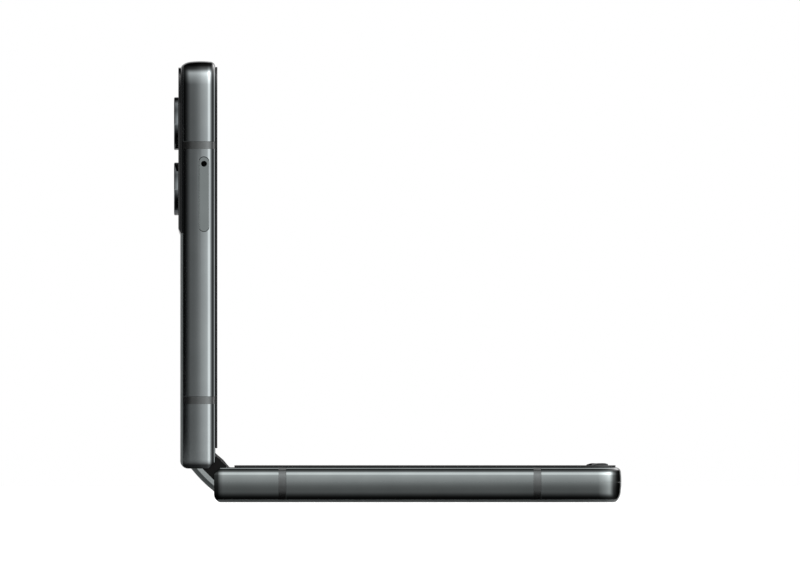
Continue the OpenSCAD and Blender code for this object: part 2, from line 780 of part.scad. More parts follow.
module shield_cans() on_lid() color(steel) {
    processor_y = -can_gap / 2 - processor_can[1];
    shield_can(board_start + can_margin, processor_y, processor_can);
    shield_can(board_start + can_margin, can_gap / 2, radio_can);
    shield_can(board_start + can_margin + processor_can[0] + can_gap, processor_y, power_can);
}

module sim_reader() on_lid() color(steel) {
    room = tray_body_w / 2 + tray_clear;
    difference() {
        block([tray_x - room - pack_gap, tray_x + room + pack_gap],
            [-inside_w / 2 + 0.2, tray_tip + 2 * pack_gap], [-board_z, floor_z]);
        block([tray_x - room, tray_x + room], [-body_w / 2, tray_tip + pack_gap],
            [-tray_z - tray_body_t / 2 - tray_clear, -tray_z + tray_body_t / 2 + tray_clear]);
    }
}

// Switches under the keys on one strip along the rail
module key_switches() on_lid() color(copper) {
    strip_y = switch_y - switch_h;
    block([side_x - switch_w, volume_x + volume_len / 2], [strip_y - strip_t, strip_y],
        [-key_z - switch_w / 2, floor_z]);
    for (x = [side_x, volume_x - volume_len / 3, volume_x + volume_len / 3])
        block([x - switch_w / 2, x + switch_w / 2], [strip_y, switch_y],
            [-key_z - switch_w / 3, -key_z + switch_w / 3]);
}

module ring_hole() for (x = camera_x) translate([x, camera_y, -half_t - 2])
    cylinder(d = ring_d - 2 * ring_step, h = cover_t + 4, $fn = fine);

// The dark glass stands above the back cover and slopes down to it
module cover_glass() on_lid() color("#0b0e10") difference() {
    union() {
        half_cover([glass_foot, half_len + 1]);
        intersection() {
            end_plate([glass_foot - 1, half_len - glass_edge_in], body_w - 2 * glass_edge_in,
                [-glass_top, cover_z], corner_r - back_edge_in);
            rotate([90, 0, 0]) linear_extrude(body_w, center = true)
                polygon([[glass_foot, cover_z], [glass_foot, -half_t], [glass_x, -glass_top],
                    [half_len, -glass_top], [half_len, cover_z]]);
        }
    }
    ring_hole();
    translate([flash_at[0], flash_at[1], -half_t - 2]) cylinder(d = flash_d, h = half_t, $fn = fine);
}

// The display behind the dark glass, beside the cameras
module cover_display() on_lid() color("#0a1a22")
    block([glass_x + cover_display_x, glass_x + cover_display_x + cover_display_len],
        [cover_display_y - cover_display_w / 2, cover_display_y + cover_display_w / 2],
        [cover_z, cover_z + display_t]);

module camera_rings() on_lid() color("#2a3033") for (x = camera_x) translate([x, camera_y, 0]) difference() {
    union() {
        translate([0, 0, -glass_top - ring_rise]) cylinder(d = ring_d, h = ring_rise, $fn = fine);
        translate([0, 0, -glass_top]) cylinder(d = ring_d - 2 * ring_step, h = glass_top + cover_z, $fn = fine);
    }
    translate([0, 0, -half_t - 3]) cylinder(d = ring_d - 2 * ring_wall, h = half_t, $fn = fine);
}

module camera_lenses() on_lid() color("#11161a") for (x = camera_x)
    translate([x, camera_y, lens_z]) cylinder(d = ring_d - 2 * ring_wall, h = lens_t, $fn = fine);

module camera_modules() on_lid() color("#1a1d1f") {
    camera_room(0);
    for (x = camera_x) translate([x, camera_y, lens_z + lens_t])
        cylinder(d = barrel_d, h = cover_z + eps - lens_z - lens_t, $fn = fine);
}

module flash() on_lid() color("#e8e2c4")
    translate([flash_at[0], flash_at[1], -glass_top + 0.1]) cylinder(d = flash_d, h = 1.4, $fn = fine);

module selfie_camera() on_lid() color("#16191b")
    translate([half_len - selfie_end, 0, floor_z - selfie_depth])
        cylinder(d = selfie_d, h = display_z - display_sink - floor_z + selfie_depth, $fn = fine);

module earpiece() on_lid() color("#2b2f31")
    block([inside_end - 0.1 - earpiece_t, inside_end - 0.1], [-earpiece_w / 2, earpiece_w / 2],
        [floor_z - earpiece_t, floor_z]);

// Hinge spine

// The spine's section: two rounds about the hinge axes and what lies between them
module spine_section(r, crown) {
    rise = max(crown, eps);
    crown_r = (pow(axis_x, 2) + pow(rise, 2)) / (2 * rise);
    half_crown = asin(axis_x / crown_r);
    for (side = [-1, 1]) translate([side * axis_x, -axis_z]) circle(r, $fn = 96);
    polygon(concat([[axis_x, -axis_z], [-axis_x, -axis_z]],
        arc_points([0, crown_r - axis_z - r - rise], crown_r, crown_r, -90 - half_crown, -90 + half_crown)));
}

module along_hinge(y) translate([0, y[1], 0]) rotate([90, 0, 0]) linear_extrude(y[1] - y[0]) children();

module below(z) translate([-20, z - 40]) square([40, 40]);

module spine_cover() on_spine() color(rail_colour) {
    along_hinge([-spine_len / 2, spine_len / 2]) difference() {
        intersection() { spine_section(spine_r, spine_crown); below(rim_z); }
        spine_section(spine_inner_r, 0);
    }
    both_sides() along_hinge([spine_len / 2 - band_t, spine_len / 2]) difference() {
        intersection() { spine_section(spine_r - spine_wall / 2, 0); below(rim_z); }
        spine_section(spine_r - band_h, 0);
    }
}

module spine_end_caps() on_spine() color(black)
    both_sides() along_hinge([spine_len / 2 - cap_t, spine_len / 2]) {
        intersection() { spine_section(spine_r - band_h, 0); below(rim_z + eps); }
        polygon([[-cap_half, -cap_top], [cap_half, -cap_top], [cap_half + 0.25, -cap_top - 0.7],
            [axis_x, rim_z], [-axis_x, rim_z], [-cap_half - 0.25, -cap_top - 0.7]]);
    }

module bracket_rib()
    intersection() {
        spine_section(spine_inner_r, 0);
        union() {
            for (side = [-1, 1]) {
                translate([side * axis_x, -axis_z]) circle(bracket_r, $fn = fine);
                translate([side * axis_x - bracket_r, spine_floor])
                    square([2 * bracket_r, -axis_z - spine_floor]);
            }
            translate([-axis_x, spine_floor]) square([2 * axis_x, bracket_floor_t]);
            translate([-post_half, spine_floor]) square([2 * post_half, crease_bottom - spine_floor]);
        }
    }

module at_shafts() for (side = [-1, 1]) translate([side * axis_x, 0, -axis_z]) rotate([-90, 0, 0]) children();

module hinge_brackets() on_spine() color(steel) both_sides() difference() {
    translate([0, module_y, 0]) {
        along_hinge([-module_inner - rib_t, -module_inner]) bracket_rib();
        along_hinge([outer_rib, outer_rib + rib_t]) bracket_rib();
        along_hinge([-module_inner - rib_t, outer_rib + rib_t]) intersection() {
            spine_section(spine_inner_r, 0);
            translate([-axis_x - bracket_r, spine_floor]) square([2 * (axis_x + bracket_r), bracket_floor_t]);
        }
    }
    at_shafts() cylinder(r = shaft_r + bracket_fit, h = body_w, $fn = fine);
}

module hinge_shafts() on_spine() color(steel) both_sides()
    translate([0, module_y - module_inner - rib_t - 0.3, 0]) at_shafts()
        cylinder(r = shaft_r, h = module_inner + outer_rib + 2 * rib_t + 0.6, $fn = fine);

// The followers press on the arms' hubs, pushed by the springs on the shafts
module detent_followers() on_spine() color(copper) both_sides() difference() {
    translate([0, module_y, 0]) along_hinge([module_inner, module_inner + follower_t]) {
        for (side = [-1, 1]) {
            translate([side * axis_x, -axis_z]) circle(bracket_r, $fn = fine);
            translate([side * axis_x - bracket_r, spine_floor + bracket_floor_t + follower_gap])
                square([2 * bracket_r, -axis_z - spine_floor - bracket_floor_t - follower_gap]);
        }
        translate([-axis_x, spine_floor + bracket_floor_t + follower_gap]) square([2 * axis_x, bracket_r]);
    }
    at_shafts() cylinder(r = shaft_r + arm_fit, h = body_w, $fn = fine);
}

module detent_springs() on_spine() color(steel) both_sides()
    translate([0, module_y + spring_start, 0]) at_shafts() difference() {
        cylinder(r = bracket_r, h = spring_len, $fn = fine);
        translate([0, 0, -1]) cylinder(r = shaft_r + arm_fit, h = spring_len + 2, $fn = fine);
    }

module crease_support() on_spine() color(steel)
    block([-crease_half + 0.2, crease_half - 0.2], [-display_w / 2, display_w / 2],
        [crease_bottom, display_bottom]);

module crease_strip() on_spine() color("#08090a")
    block([-crease_half, crease_half], [-display_w / 2, display_w / 2], [display_bottom, display_z]);

// A flat cable lies along the channel's floor between the hinge modules
module hinge_flex_cable() on_spine() color(copper)
    block([-axis_x, axis_x], [-cable_w / 2, cable_w / 2], [spine_floor, spine_floor + cable_t]);

// Keys and tray

// A key stands in its slot in the rail, held by a wider flange inside
module key(x, len) {
    side_slot(x, -key_z, len, key_h, [flange_y - key_flange_t / 2, body_w / 2 + key_proud]);
    side_slot(x, -key_z, len + 2 * key_flange, key_h + 2 * key_flange, [flange_y - key_flange_t, flange_y]);
}

// The volume key rocks on a round rib across the middle of its flange
module volume_key() on_lid() color(rail_colour) {
    key(volume_x, volume_len);
    translate([volume_x, flange_y - 0.05, -key_z]) cylinder(r = rocker_r, h = key_h, center = true, $fn = fine);
}

module side_key() on_lid() color(rail_colour) key(side_x, side_len);

module sim_tray() on_lid() color(rail_colour) difference() {
    union() {
        tray_space(0, [-body_w / 2, -inside_w / 2]);
        block([tray_x - tray_body_w / 2, tray_x + tray_body_w / 2], [-inside_w / 2 - eps, tray_tip],
            [-tray_z - tray_body_t / 2, -tray_z + tray_body_t / 2]);
    }
    block([tray_x - card_w / 2, tray_x + card_w / 2],
        [tray_tip - tray_body_t - card_len, tray_tip - tray_body_t],
        [-tray_z - tray_body_t / 2 + card_floor_t, 0]);
    translate([pin_hole_x, -body_w / 2 - 1, -tray_z]) rotate([-90, 0, 0])
        cylinder(d = pin_hole_d, h = rail_wall, $fn = fine);
}

base_frame();
base_antenna_bands();
base_back_cover();
base_display_lip();
base_bumpers();
base_display_panel();
base_support_sheet();
base_hinge_arms();
base_screws();
base_battery();
charging_coil();
sub_board();
usb_socket();
usb_tongue();
loudspeaker();
microphone();
vibration_motor();
lid_frame();
lid_antenna_bands();
lid_back_cover();
lid_display_lip();
lid_display_panel();
lid_support_sheet();
lid_hinge_arms();
lid_screws();
lid_battery();
main_board();
shield_cans();
sim_reader();
key_switches();
cover_glass();
cover_display();
camera_rings();
camera_lenses();
camera_modules();
flash();
selfie_camera();
earpiece();
spine_cover();
spine_end_caps();
hinge_brackets();
hinge_shafts();
detent_followers();
detent_springs();
crease_support();
crease_strip();
hinge_flex_cable();
volume_key();
side_key();
sim_tray();
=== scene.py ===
import json
import math

import bmesh
import bpy
from mathutils import Matrix, Vector


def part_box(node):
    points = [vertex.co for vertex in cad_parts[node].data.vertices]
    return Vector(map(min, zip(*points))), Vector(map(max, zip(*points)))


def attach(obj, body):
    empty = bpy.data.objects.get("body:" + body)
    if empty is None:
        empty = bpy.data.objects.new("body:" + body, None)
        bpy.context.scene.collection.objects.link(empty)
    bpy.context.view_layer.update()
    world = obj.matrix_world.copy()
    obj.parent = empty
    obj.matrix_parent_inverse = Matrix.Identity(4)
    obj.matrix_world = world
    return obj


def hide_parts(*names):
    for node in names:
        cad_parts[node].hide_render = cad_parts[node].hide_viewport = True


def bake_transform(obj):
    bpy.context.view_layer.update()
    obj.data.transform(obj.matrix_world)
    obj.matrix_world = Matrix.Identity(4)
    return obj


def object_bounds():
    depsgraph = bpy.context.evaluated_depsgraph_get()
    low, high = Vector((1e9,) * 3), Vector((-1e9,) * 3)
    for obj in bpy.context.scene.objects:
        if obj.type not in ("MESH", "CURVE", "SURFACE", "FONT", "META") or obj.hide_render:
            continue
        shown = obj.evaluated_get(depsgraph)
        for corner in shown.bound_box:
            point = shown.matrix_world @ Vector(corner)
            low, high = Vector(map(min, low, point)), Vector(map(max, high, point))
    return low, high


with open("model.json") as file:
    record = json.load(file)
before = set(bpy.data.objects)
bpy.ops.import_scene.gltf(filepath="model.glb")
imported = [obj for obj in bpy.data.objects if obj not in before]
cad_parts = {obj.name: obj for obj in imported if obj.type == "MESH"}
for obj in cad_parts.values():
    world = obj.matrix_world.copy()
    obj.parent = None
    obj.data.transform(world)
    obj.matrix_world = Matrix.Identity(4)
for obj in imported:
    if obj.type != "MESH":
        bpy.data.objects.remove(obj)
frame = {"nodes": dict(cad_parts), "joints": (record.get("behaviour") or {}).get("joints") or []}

cadLow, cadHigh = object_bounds()
nodes = frame["nodes"]
joints = {joint["name"]: joint for joint in frame["joints"]}
mm = 0.001
touching = 0.01 * mm        # a point this close to a face counts as lying on it
scene = bpy.context.scene
scene.view_settings.view_transform = "Standard"

# The photo looks along the hinge through a long lens, with the fold's corner in line
shot = {
    "lens": 1000,
    "sensor": 36,
    "clip": (0.5, 12),
    "distance": 4489 * mm,
    "eyeAcross": -36.87 * mm,
    "eyeHeight": 7.1 * mm,
    "aimAcross": 0.43 * mm,
    "aimHeight": 42.9 * mm,
}


def makeCamera():
    eye = Vector((shot["eyeAcross"], cadLow.y - shot["distance"], shot["eyeHeight"]))
    aim = Vector((shot["aimAcross"], cadLow.y, shot["aimHeight"]))
    data = bpy.data.cameras.new("camera")
    data.lens = shot["lens"]
    data.sensor_width = shot["sensor"]
    data.clip_start, data.clip_end = shot["clip"]
    camera = bpy.data.objects.new("camera", data)
    camera.location = eye
    camera.rotation_mode = "QUATERNION"
    camera.rotation_quaternion = (aim - eye).to_track_quat("-Z", "Y")
    scene.collection.objects.link(camera)
    scene.camera = camera


makeCamera()
print("camera ready")


def linear(hexColour):
    channels = [int(hexColour[i:i + 2], 16) / 255 for i in (1, 3, 5)]
    return [c / 12.92 if c <= 0.04045 else ((c + 0.055) / 1.055) ** 2.4 for c in channels] + [1]


# Adds a node. A setting named after a socket fills it, with a value or with another node's output
def addNode(tree, kind, sockets=None, **settings):
    node = tree.nodes.new(kind)
    for key, value in settings.items():
        setattr(node, key, value)
    for key, value in (sockets or {}).items():
        if isinstance(value, bpy.types.NodeSocket):
            tree.links.new(value, node.inputs[key])
        else:
            node.inputs[key].default_value = value
    return node


# Sets a ramp's stops, each a place from 0 to 1 and a grey level
def fillRamp(ramp, stops):
    elements = ramp.color_ramp.elements
    elements.remove(elements[1])
    for number, (at, level) in enumerate(stops):
        element = elements.new(at) if number else elements[0]
        element.position = at
        element.color = [level] * 3 + [1]


def newMaterial(name):
    material = bpy.data.materials.new(name)
    material.use_nodes = True
    material.node_tree.nodes.clear()
    return material, material.node_tree


# Noise that changes the gloss, and its levels where the surface is least and most rough
smudges = {"size": 14 * mm, "least": 0.35, "most": 0.7}
relief = 0.1        # height of a bump, as a share of the grain's size


# A surface with the finish that every material here shares: noise in its gloss, and a fine bump
def finishSurface(tree, base, grain, roughness, bump, **sockets):
    place = addNode(tree, "ShaderNodeTexCoord").outputs["Object"]
    noise = addNode(tree, "ShaderNodeTexNoise",
                    {"Vector": place, "Scale": 1 / grain, "Detail": 4.0})
    smudge = addNode(tree, "ShaderNodeTexNoise",
                     {"Vector": place, "Scale": 1 / smudges["size"], "Detail": 3.0})
    gloss = addNode(tree, "ShaderNodeMapRange",
                    {"Value": smudge.outputs["Fac"], "From Min": smudges["least"],
                     "From Max": smudges["most"], "To Min": roughness[0], "To Max": roughness[1]})
    bumps = addNode(tree, "ShaderNodeBump", {"Height": noise.outputs["Fac"], "Strength": bump,
                                             "Distance": grain * relief})
    shader = addNode(tree, "ShaderNodeBsdfPrincipled",
                     {"Base Color": base, "Roughness": gloss.outputs["Result"],
                      "Normal": bumps.outputs["Normal"], **sockets})
    addNode(tree, "ShaderNodeOutputMaterial", {"Surface": shader.outputs["BSDF"]})
    return place, noise


# Two tones of one colour, mixed by a noise of a real size
def mottle(tree, first, second, size):
    place = addNode(tree, "ShaderNodeTexCoord").outputs["Object"]
    noise = addNode(tree, "ShaderNodeTexNoise",
                    {"Vector": place, "Scale": 1 / size, "Detail": 5.0})
    blend = addNode(tree, "ShaderNodeValToRGB", {"Fac": noise.outputs["Fac"]})
    for element, at, tone in zip(blend.color_ramp.elements, (0.35, 0.65), (first, second)):
        element.position = at
        element.color = linear(tone)
    return blend.outputs["Color"]


# Painted light and shade: a colour made darker or lighter by its distance from a face, stops being
# (distance, factor)
def paintLightByFace(tree, colour, point, inward, stops):
    place = addNode(tree, "ShaderNodeTexCoord").outputs["Object"]
    offset = addNode(tree, "ShaderNodeVectorMath", {0: place, 1: point}, operation="SUBTRACT")
    depth = addNode(tree, "ShaderNodeVectorMath", {0: offset.outputs[0], 1: inward},
                    operation="DOT_PRODUCT")
    reach, peak = stops[-1][0], max(factor for at, factor in stops)
    share = addNode(tree, "ShaderNodeMapRange",
                    {"Value": depth.outputs["Value"], "From Max": reach})
    ramp = addNode(tree, "ShaderNodeValToRGB", {"Fac": share.outputs["Result"]})
    fillRamp(ramp, [(at / reach, factor / peak) for at, factor in stops])
    toned = addNode(tree, "ShaderNodeVectorMath", {0: colour, 1: ramp.outputs["Color"]},
                    operation="MULTIPLY")
    lifted = addNode(tree, "ShaderNodeVectorMath", {0: toned.outputs[0], "Scale": peak},
                     operation="SCALE")
    return lifted.outputs[0]


# Anodised aluminium, polished after blasting: a dark grey metal with clear, slightly soft
# reflections
def anodisedAluminium(name="anodisedAluminium", tones=("#757B7B", "#7A8080"),
                      roughness=(0.03, 0.05), faces=()):
    material, tree = newMaterial(name)
    colour = mottle(tree, *tones, 6 * mm)
    # Painted highlights and shade, by the distance from the given faces
    for face in faces:
        colour = paintLightByFace(tree, colour, *face)
    finishSurface(tree, colour, 0.12 * mm, roughness, 0.04, Metallic=1.0)
    return material


# Painted highlights and shade, as factors on the colour, by the distance from a face inward, in mm
paintedLightStops = {
    # Beside the display, painted reflections: a bright rim, then a dark line between two painted
    # highlights
    "display": ((0.0, 1.6), (0.22, 1.6), (0.3, 0.05), (0.55, 0.08), (0.8, 0.5), (1.0, 1.5),
                (1.12, 3.3), (1.45, 3.2), (1.62, 1.8), (2.1, 1.5), (2.6, 1.25), (3.1, 1.0)),
    # Painted shade: a black rim at the fold, and a wider, dark grey one at the free end
    "fold": ((0.0, 0.08), (0.75, 0.1), (1.3, 0.7), (1.8, 1.0), (2.2, 1.0)),
    "free": ((0.0, 0.5), (0.25, 0.4), (0.45, 0.25), (1.7, 0.28), (2.1, 0.6), (2.6, 1.0),
             (3.0, 1.0)),
    # The antenna bands, from the display to the back: a painted highlight near the display and
    # painted shade to the back
    "band": ((0.0, 0.5), (0.3, 0.35), (0.65, 0.1), (1.0, 1.1), (1.4, 1.6), (1.9, 1.25), (2.3, 1.0),
             (3.0, 0.7), (3.9, 0.38), (4.7, 0.28), (5.4, 0.06), (6.0, 0.02), (8.0, 0.02)),
    # A camera ring, in shares of its width: a painted highlight along its middle
    "ring": ((0.0, 0.3), (0.24, 0.5), (0.42, 1.7), (0.58, 1.7), (0.76, 0.5), (1.0, 0.3)),
}


def faceOf(node, outward, stops):
    low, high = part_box(node)
    corner = [high[i] if outward[i] > 0 else low[i] for i in range(3)]
    return corner, [-step for step in outward], [(at * mm, factor) for at, factor in stops]


# The rail's metal, with painted highlights and shade by its distance from the display, the fold and
# the free end
def railMetal(name, node, displaySide, foldSide, tones):
    freeSide = [-step for step in foldSide]
    sides = {"display": displaySide, "fold": foldSide, "free": freeSide}
    faces = [faceOf(node, outward, paintedLightStops[side]) for side, outward in sides.items()]
    return anodisedAluminium(name, tones, faces=faces)


# Anodised like the rail, and turned, with a painted highlight along the middle of both rings
def turnedRingPaintedHighlight():
    low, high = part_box("camera_rings")
    across = (high.y - low.y) / mm
    pitch = (high.z - low.z) / mm - across
    stops = [(start + at * across, level) for start in (0, pitch)
             for at, level in paintedLightStops["ring"]]
    return anodisedAluminium("turnedRingPaintedHighlight", ("#6A6F71", "#707577"), (0.04, 0.07),
                             [faceOf("camera_rings", (0, 0, 1), stops)])


# Toughened glass, etched matt on its outside over a grey coat: a soft sheen, no sharp image
def etchedGlass():
    material, tree = newMaterial("etchedGlass")
    finishSurface(tree, mottle(tree, "#5A5F5F", "#606565", 9 * mm), 0.15 * mm, (0.36, 0.42), 0.05,
                  **{"IOR": 1.5, "Coat Weight": 0.35, "Coat Roughness": 0.3})
    return material


# Clear glass over black ink, polished: near black with a mirror's reflection
def blackGlass():
    material, tree = newMaterial("blackGlass")
    finishSurface(tree, mottle(tree, "#0B0D0E", "#0E1011", 12 * mm), 0.6 * mm, (0.03, 0.06), 0.004,
                  **{"IOR": 1.52, "Specular IOR Level": 0.5})
    return material


# Folding display: a polymer film over thin glass, black when off, less sharp than solid glass
def displayFilm():
    material, tree = newMaterial("displayFilm")
    finishSurface(tree, mottle(tree, "#08090B", "#0A0B0E", 5 * mm), 0.5 * mm, (0.06, 0.1), 0.01,
                  **{"IOR": 1.49, "Coat Weight": 0.6, "Coat Roughness": 0.04})
    return material


# Moulded polycarbonate lip, spark-eroded mould finish: matt black with a fine grain
def mouldedPolymer(name="mouldedPolymer", tones=("#0C0D0E", "#101112"), roughness=(0.42, 0.55),
                   index=1.58, bump=0.08, faces=()):
    material, tree = newMaterial(name)
    colour = mottle(tree, *tones, 3 * mm)
    # Painted highlights and shade, by the distance from the given faces
    for face in faces:
        colour = paintLightByFace(tree, colour, *face)
    finishSurface(tree, colour, 0.25 * mm, roughness, bump, IOR=index)
    return material


# Glass-filled nylon, moulded into the rail's gaps and polished with it: a clear sheen, with a
# painted highlight near the display and painted shade to the back, like the rail's
def bandPlastic(name, node, displaySide):
    return mouldedPolymer(name, ("#6C7070", "#727676"), (0.12, 0.18), 1.5, 0.03,
                          [faceOf(node, displaySide, paintedLightStops["band"])])


# Moulded silicone rubber: black, dull, faintly dusty
def siliconeRubber():
    material, tree = newMaterial("siliconeRubber")
    finishSurface(tree, mottle(tree, "#1B1D1E", "#222425", 1.5 * mm), 0.3 * mm, (0.6, 0.72), 0.3,
                  **{"IOR": 1.43, "Sheen Weight": 0.25, "Sheen Roughness": 0.5})
    return material


# Stamped stainless steel, its grain drawn out along the sheet, and coarser than real so that it
# shows
def stampedSteel(name="stampedSteel", tones=("#A9ACAD", "#BBBEBF"), drawn=14.0):
    material, tree = newMaterial(name)
    place, noise = finishSurface(tree, mottle(tree, *tones, 4 * mm), 0.2 * mm, (0.24, 0.34), 0.12,
                                 Metallic=1.0)
    stretch = addNode(tree, "ShaderNodeMapping", {"Vector": place, "Scale": (1.0, drawn, drawn)})
    tree.links.new(stretch.outputs["Vector"], noise.inputs["Vector"])
    return material


# Rolled copper alloy with a thin tarnish
def rolledCopper():
    material, tree = newMaterial("rolledCopper")
    finishSurface(tree, mottle(tree, "#B0703F", "#C4865A", 5 * mm), 0.3 * mm, (0.25, 0.38), 0.1,
                  Metallic=1.0)
    return material


# Glass-fibre circuit board under green solder mask
def circuitBoard():
    material, tree = newMaterial("circuitBoard")
    finishSurface(tree, mottle(tree, "#184834", "#21573F", 2 * mm), 0.3 * mm, (0.3, 0.4), 0.2,
                  IOR=1.55)
    return material


# Laminated foil pouch of a battery cell
def pouchFoil():
    material, tree = newMaterial("pouchFoil")
    finishSurface(tree, mottle(tree, "#2B2F33", "#363B40", 8 * mm), 1.2 * mm, (0.3, 0.45), 0.35,
                  **{"IOR": 1.5, "Metallic": 0.4})
    return material


# Coated optical glass: black depth with a green and violet sheen from its coating
def coatedLens():
    material, tree = newMaterial("coatedLens")
    finishSurface(tree, mottle(tree, "#07080C", "#0D0A14", 3 * mm), 0.8 * mm, (0.02, 0.04), 0.0,
                  **{"IOR": 1.6, "Coat Weight": 1.0, "Coat Roughness": 0.02, "Coat IOR": 1.8,
                     "Coat Tint": linear("#8FA6D9"), "Thin Film Thickness": 320.0})
    return material


# Clear cover window of a camera, polished
def clearWindow():
    material, tree = newMaterial("clearWindow")
    finishSurface(tree, mottle(tree, "#F4F6F6", "#FAFBFB", 6 * mm), 1 * mm, (0.0, 0.01), 0.0,
                  **{"IOR": 1.45, "Transmission Weight": 1.0})
    return material


# Moulded acrylic lens over a yellow phosphor
def flashAcrylic():
    material, tree = newMaterial("flashAcrylic")
    finishSurface(tree, mottle(tree, "#E6DDB0", "#EFE8C8", 0.8 * mm), 0.2 * mm, (0.12, 0.2), 0.2,
                  **{"IOR": 1.49, "Subsurface Weight": 0.2,
                     "Subsurface Radius": (0.3 * mm, 0.3 * mm, 0.2 * mm)})
    return material


finishes = {
    "rail": anodisedAluminium(),
    # The base's rail is the same metal as the lid's, toned darker as painted shade
    "baseRail": railMetal("baseRailMetal", "base_frame", (0, 0, 1), (-1, 0, 0),
                          ("#6C7171", "#717676")),
    "lidRail": railMetal("lidRailMetal", "lid_frame", (1, 0, 0), (0, 0, -1),
                         ("#767B7C", "#7B8081")),
    "spine": anodisedAluminium("polishedSpine", ("#5C6161", "#626767"), (0.05, 0.08)),
    # Painted highlight on the spine's flat ends, in a lighter metal
    "paintedEndHighlight": anodisedAluminium("paintedSpineEndHighlight", ("#8C9292", "#969C9C"), (0.04, 0.07)),
    "cameraMetal": turnedRingPaintedHighlight(),
    "baseBand": bandPlastic("baseBandPlastic", "base_frame", (0, 0, 1)),
    "lidBand": bandPlastic("lidBandPlastic", "lid_frame", (1, 0, 0)),
    "backGlass": etchedGlass(),
    "darkGlass": blackGlass(),
    "display": displayFilm(),
    "lip": mouldedPolymer(),
    "cap": mouldedPolymer("endCapPlastic", ("#040505", "#060707"), (0.3, 0.4), 1.3, 0.04),
    # Painted shade, for inside the tray's pin hole
    "shade": mouldedPolymer("darkRecess", ("#020202", "#040404"), (0.8, 0.9), 1.2),
    "window": clearWindow(),
    "module": mouldedPolymer("modulePlastic", ("#26292B", "#2F3234"), (0.4, 0.5), bump=0.25),
    "bumper": siliconeRubber(),
    "steel": stampedSteel(),
    "gold": stampedSteel("platedContact", ("#C9A24A", "#D8B560")),
    "copper": rolledCopper(),
    "board": circuitBoard(),
    "foil": pouchFoil(),
    "lens": coatedLens(),
    "flash": flashAcrylic(),
}
print("materials ready:", len(finishes))


def finishPiece(piece, material):
    piece.data.materials.clear()
    piece.data.materials.append(material)
    return piece


def addPiece(name, mesh):
    data = bpy.data.meshes.new(name)
    mesh.to_mesh(data)
    mesh.free()
    piece = bpy.data.objects.new(name, data)
    scene.collection.objects.link(piece)
    return piece


# Smooth faces between sharp edges, with normals that keep flat faces flat
def softenShading(piece, sharpAngle=28, faceWeight=60):
    mesh = bmesh.new()
    mesh.from_mesh(piece.data)
    limit = math.radians(sharpAngle)
    for face in mesh.faces:
        face.smooth = True
    for edge in mesh.edges:
        edge.smooth = len(edge.link_faces) == 2 and edge.calc_face_angle(0) < limit
    mesh.to_mesh(piece.data)
    mesh.free()
    weights = piece.modifiers.new("weightedNormals", "WEIGHTED_NORMAL")
    weights.keep_sharp = True
    weights.weight = faceWeight


def roundEdges(mesh, edges, offset, segments):
    bmesh.ops.bevel(mesh, geom=edges, offset=offset, offset_type="OFFSET", segments=segments,
                    profile=0.5, affect="EDGES", material=-1, clamp_overlap=False)


# Cuts a mesh, or only the part of it that is given, across x
def cutAcross(mesh, place, part=None):
    geom = part or mesh.verts[:] + mesh.edges[:] + mesh.faces[:]
    bmesh.ops.bisect_plane(mesh, geom=geom, plane_co=(place, 0, 0), plane_no=(1, 0, 0))


spine = {
    "endRound": 0.95 * mm,
    "roundSegments": 6,
    "outerEdge": 4.2 * mm,        # edges farther than this from both hinge axes are rounded
    "endDepth": 0.1 * mm,        # the ends get the painted highlight to this depth
    "endFacing": 0.98,        # and where they face outward by at least this
}


# Rounds over the spine's two ends, whose outer edges the photo shows with a long highlight
def roundEnds(mesh):
    low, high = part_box("spine_cover")
    axes = [Vector(joints[name]["pos_m"]) for name in ("base_fold", "lid_fold")]
    edges = []
    for edge in mesh.edges:
        off = max(min(abs(vert.co.y - low.y), abs(vert.co.y - high.y)) for vert in edge.verts)
        walls = [face for face in edge.link_faces if abs(face.normal.y) < 0.5]
        if off < touching and len(edge.link_faces) == 2 and len(walls) == 1:
            reach = min((edge.verts[0].co - axis).xz.length for axis in axes)
            if reach > spine["outerEdge"]:
                edges.append(edge)
    roundEdges(mesh, edges, spine["endRound"], spine["roundSegments"])


tray = {
    "bowMiddle": 2.96 * mm,        # from the display plane to the middle of the rail's bow
    "bowRadius": 18.9 * mm,
    "bowStrips": 10,
    "pinFromEnd": 20.9 * mm,
    "pinRadius": 0.62 * mm,
    "pinDepth": (0.02 * mm, 2 * mm),
}


# Lets the tray's face follow the bow of the rail around it, which is 0.1 mm deep
def bowFace(mesh):
    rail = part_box("lid_frame")[1].x
    low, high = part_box("sim_tray")
    front = low.y + touching
    for cut in range(1, tray["bowStrips"]):
        faces = [face for face in mesh.faces if face.calc_center_median().y < front]
        edges = list(dict.fromkeys(edge for face in faces for edge in face.edges))
        verts = list(dict.fromkeys(vert for face in faces for vert in face.verts))
        cutAcross(mesh, low.x + (high.x - low.x) * cut / tray["bowStrips"], verts + edges + faces)
    for vert in mesh.verts:
        if vert.co.y < front:
            off = rail - vert.co.x - tray["bowMiddle"]
            vert.co.y += tray["bowRadius"] - math.sqrt(tray["bowRadius"] ** 2 - off ** 2)


bumpers = {
    "strips": 16,
    "lipRadius": 7.8 * mm,        # the lip's outer edge at the corner
    "lipWidth": 2.2 * mm,
    "length": 4.3 * mm,        # along the lip's middle
}


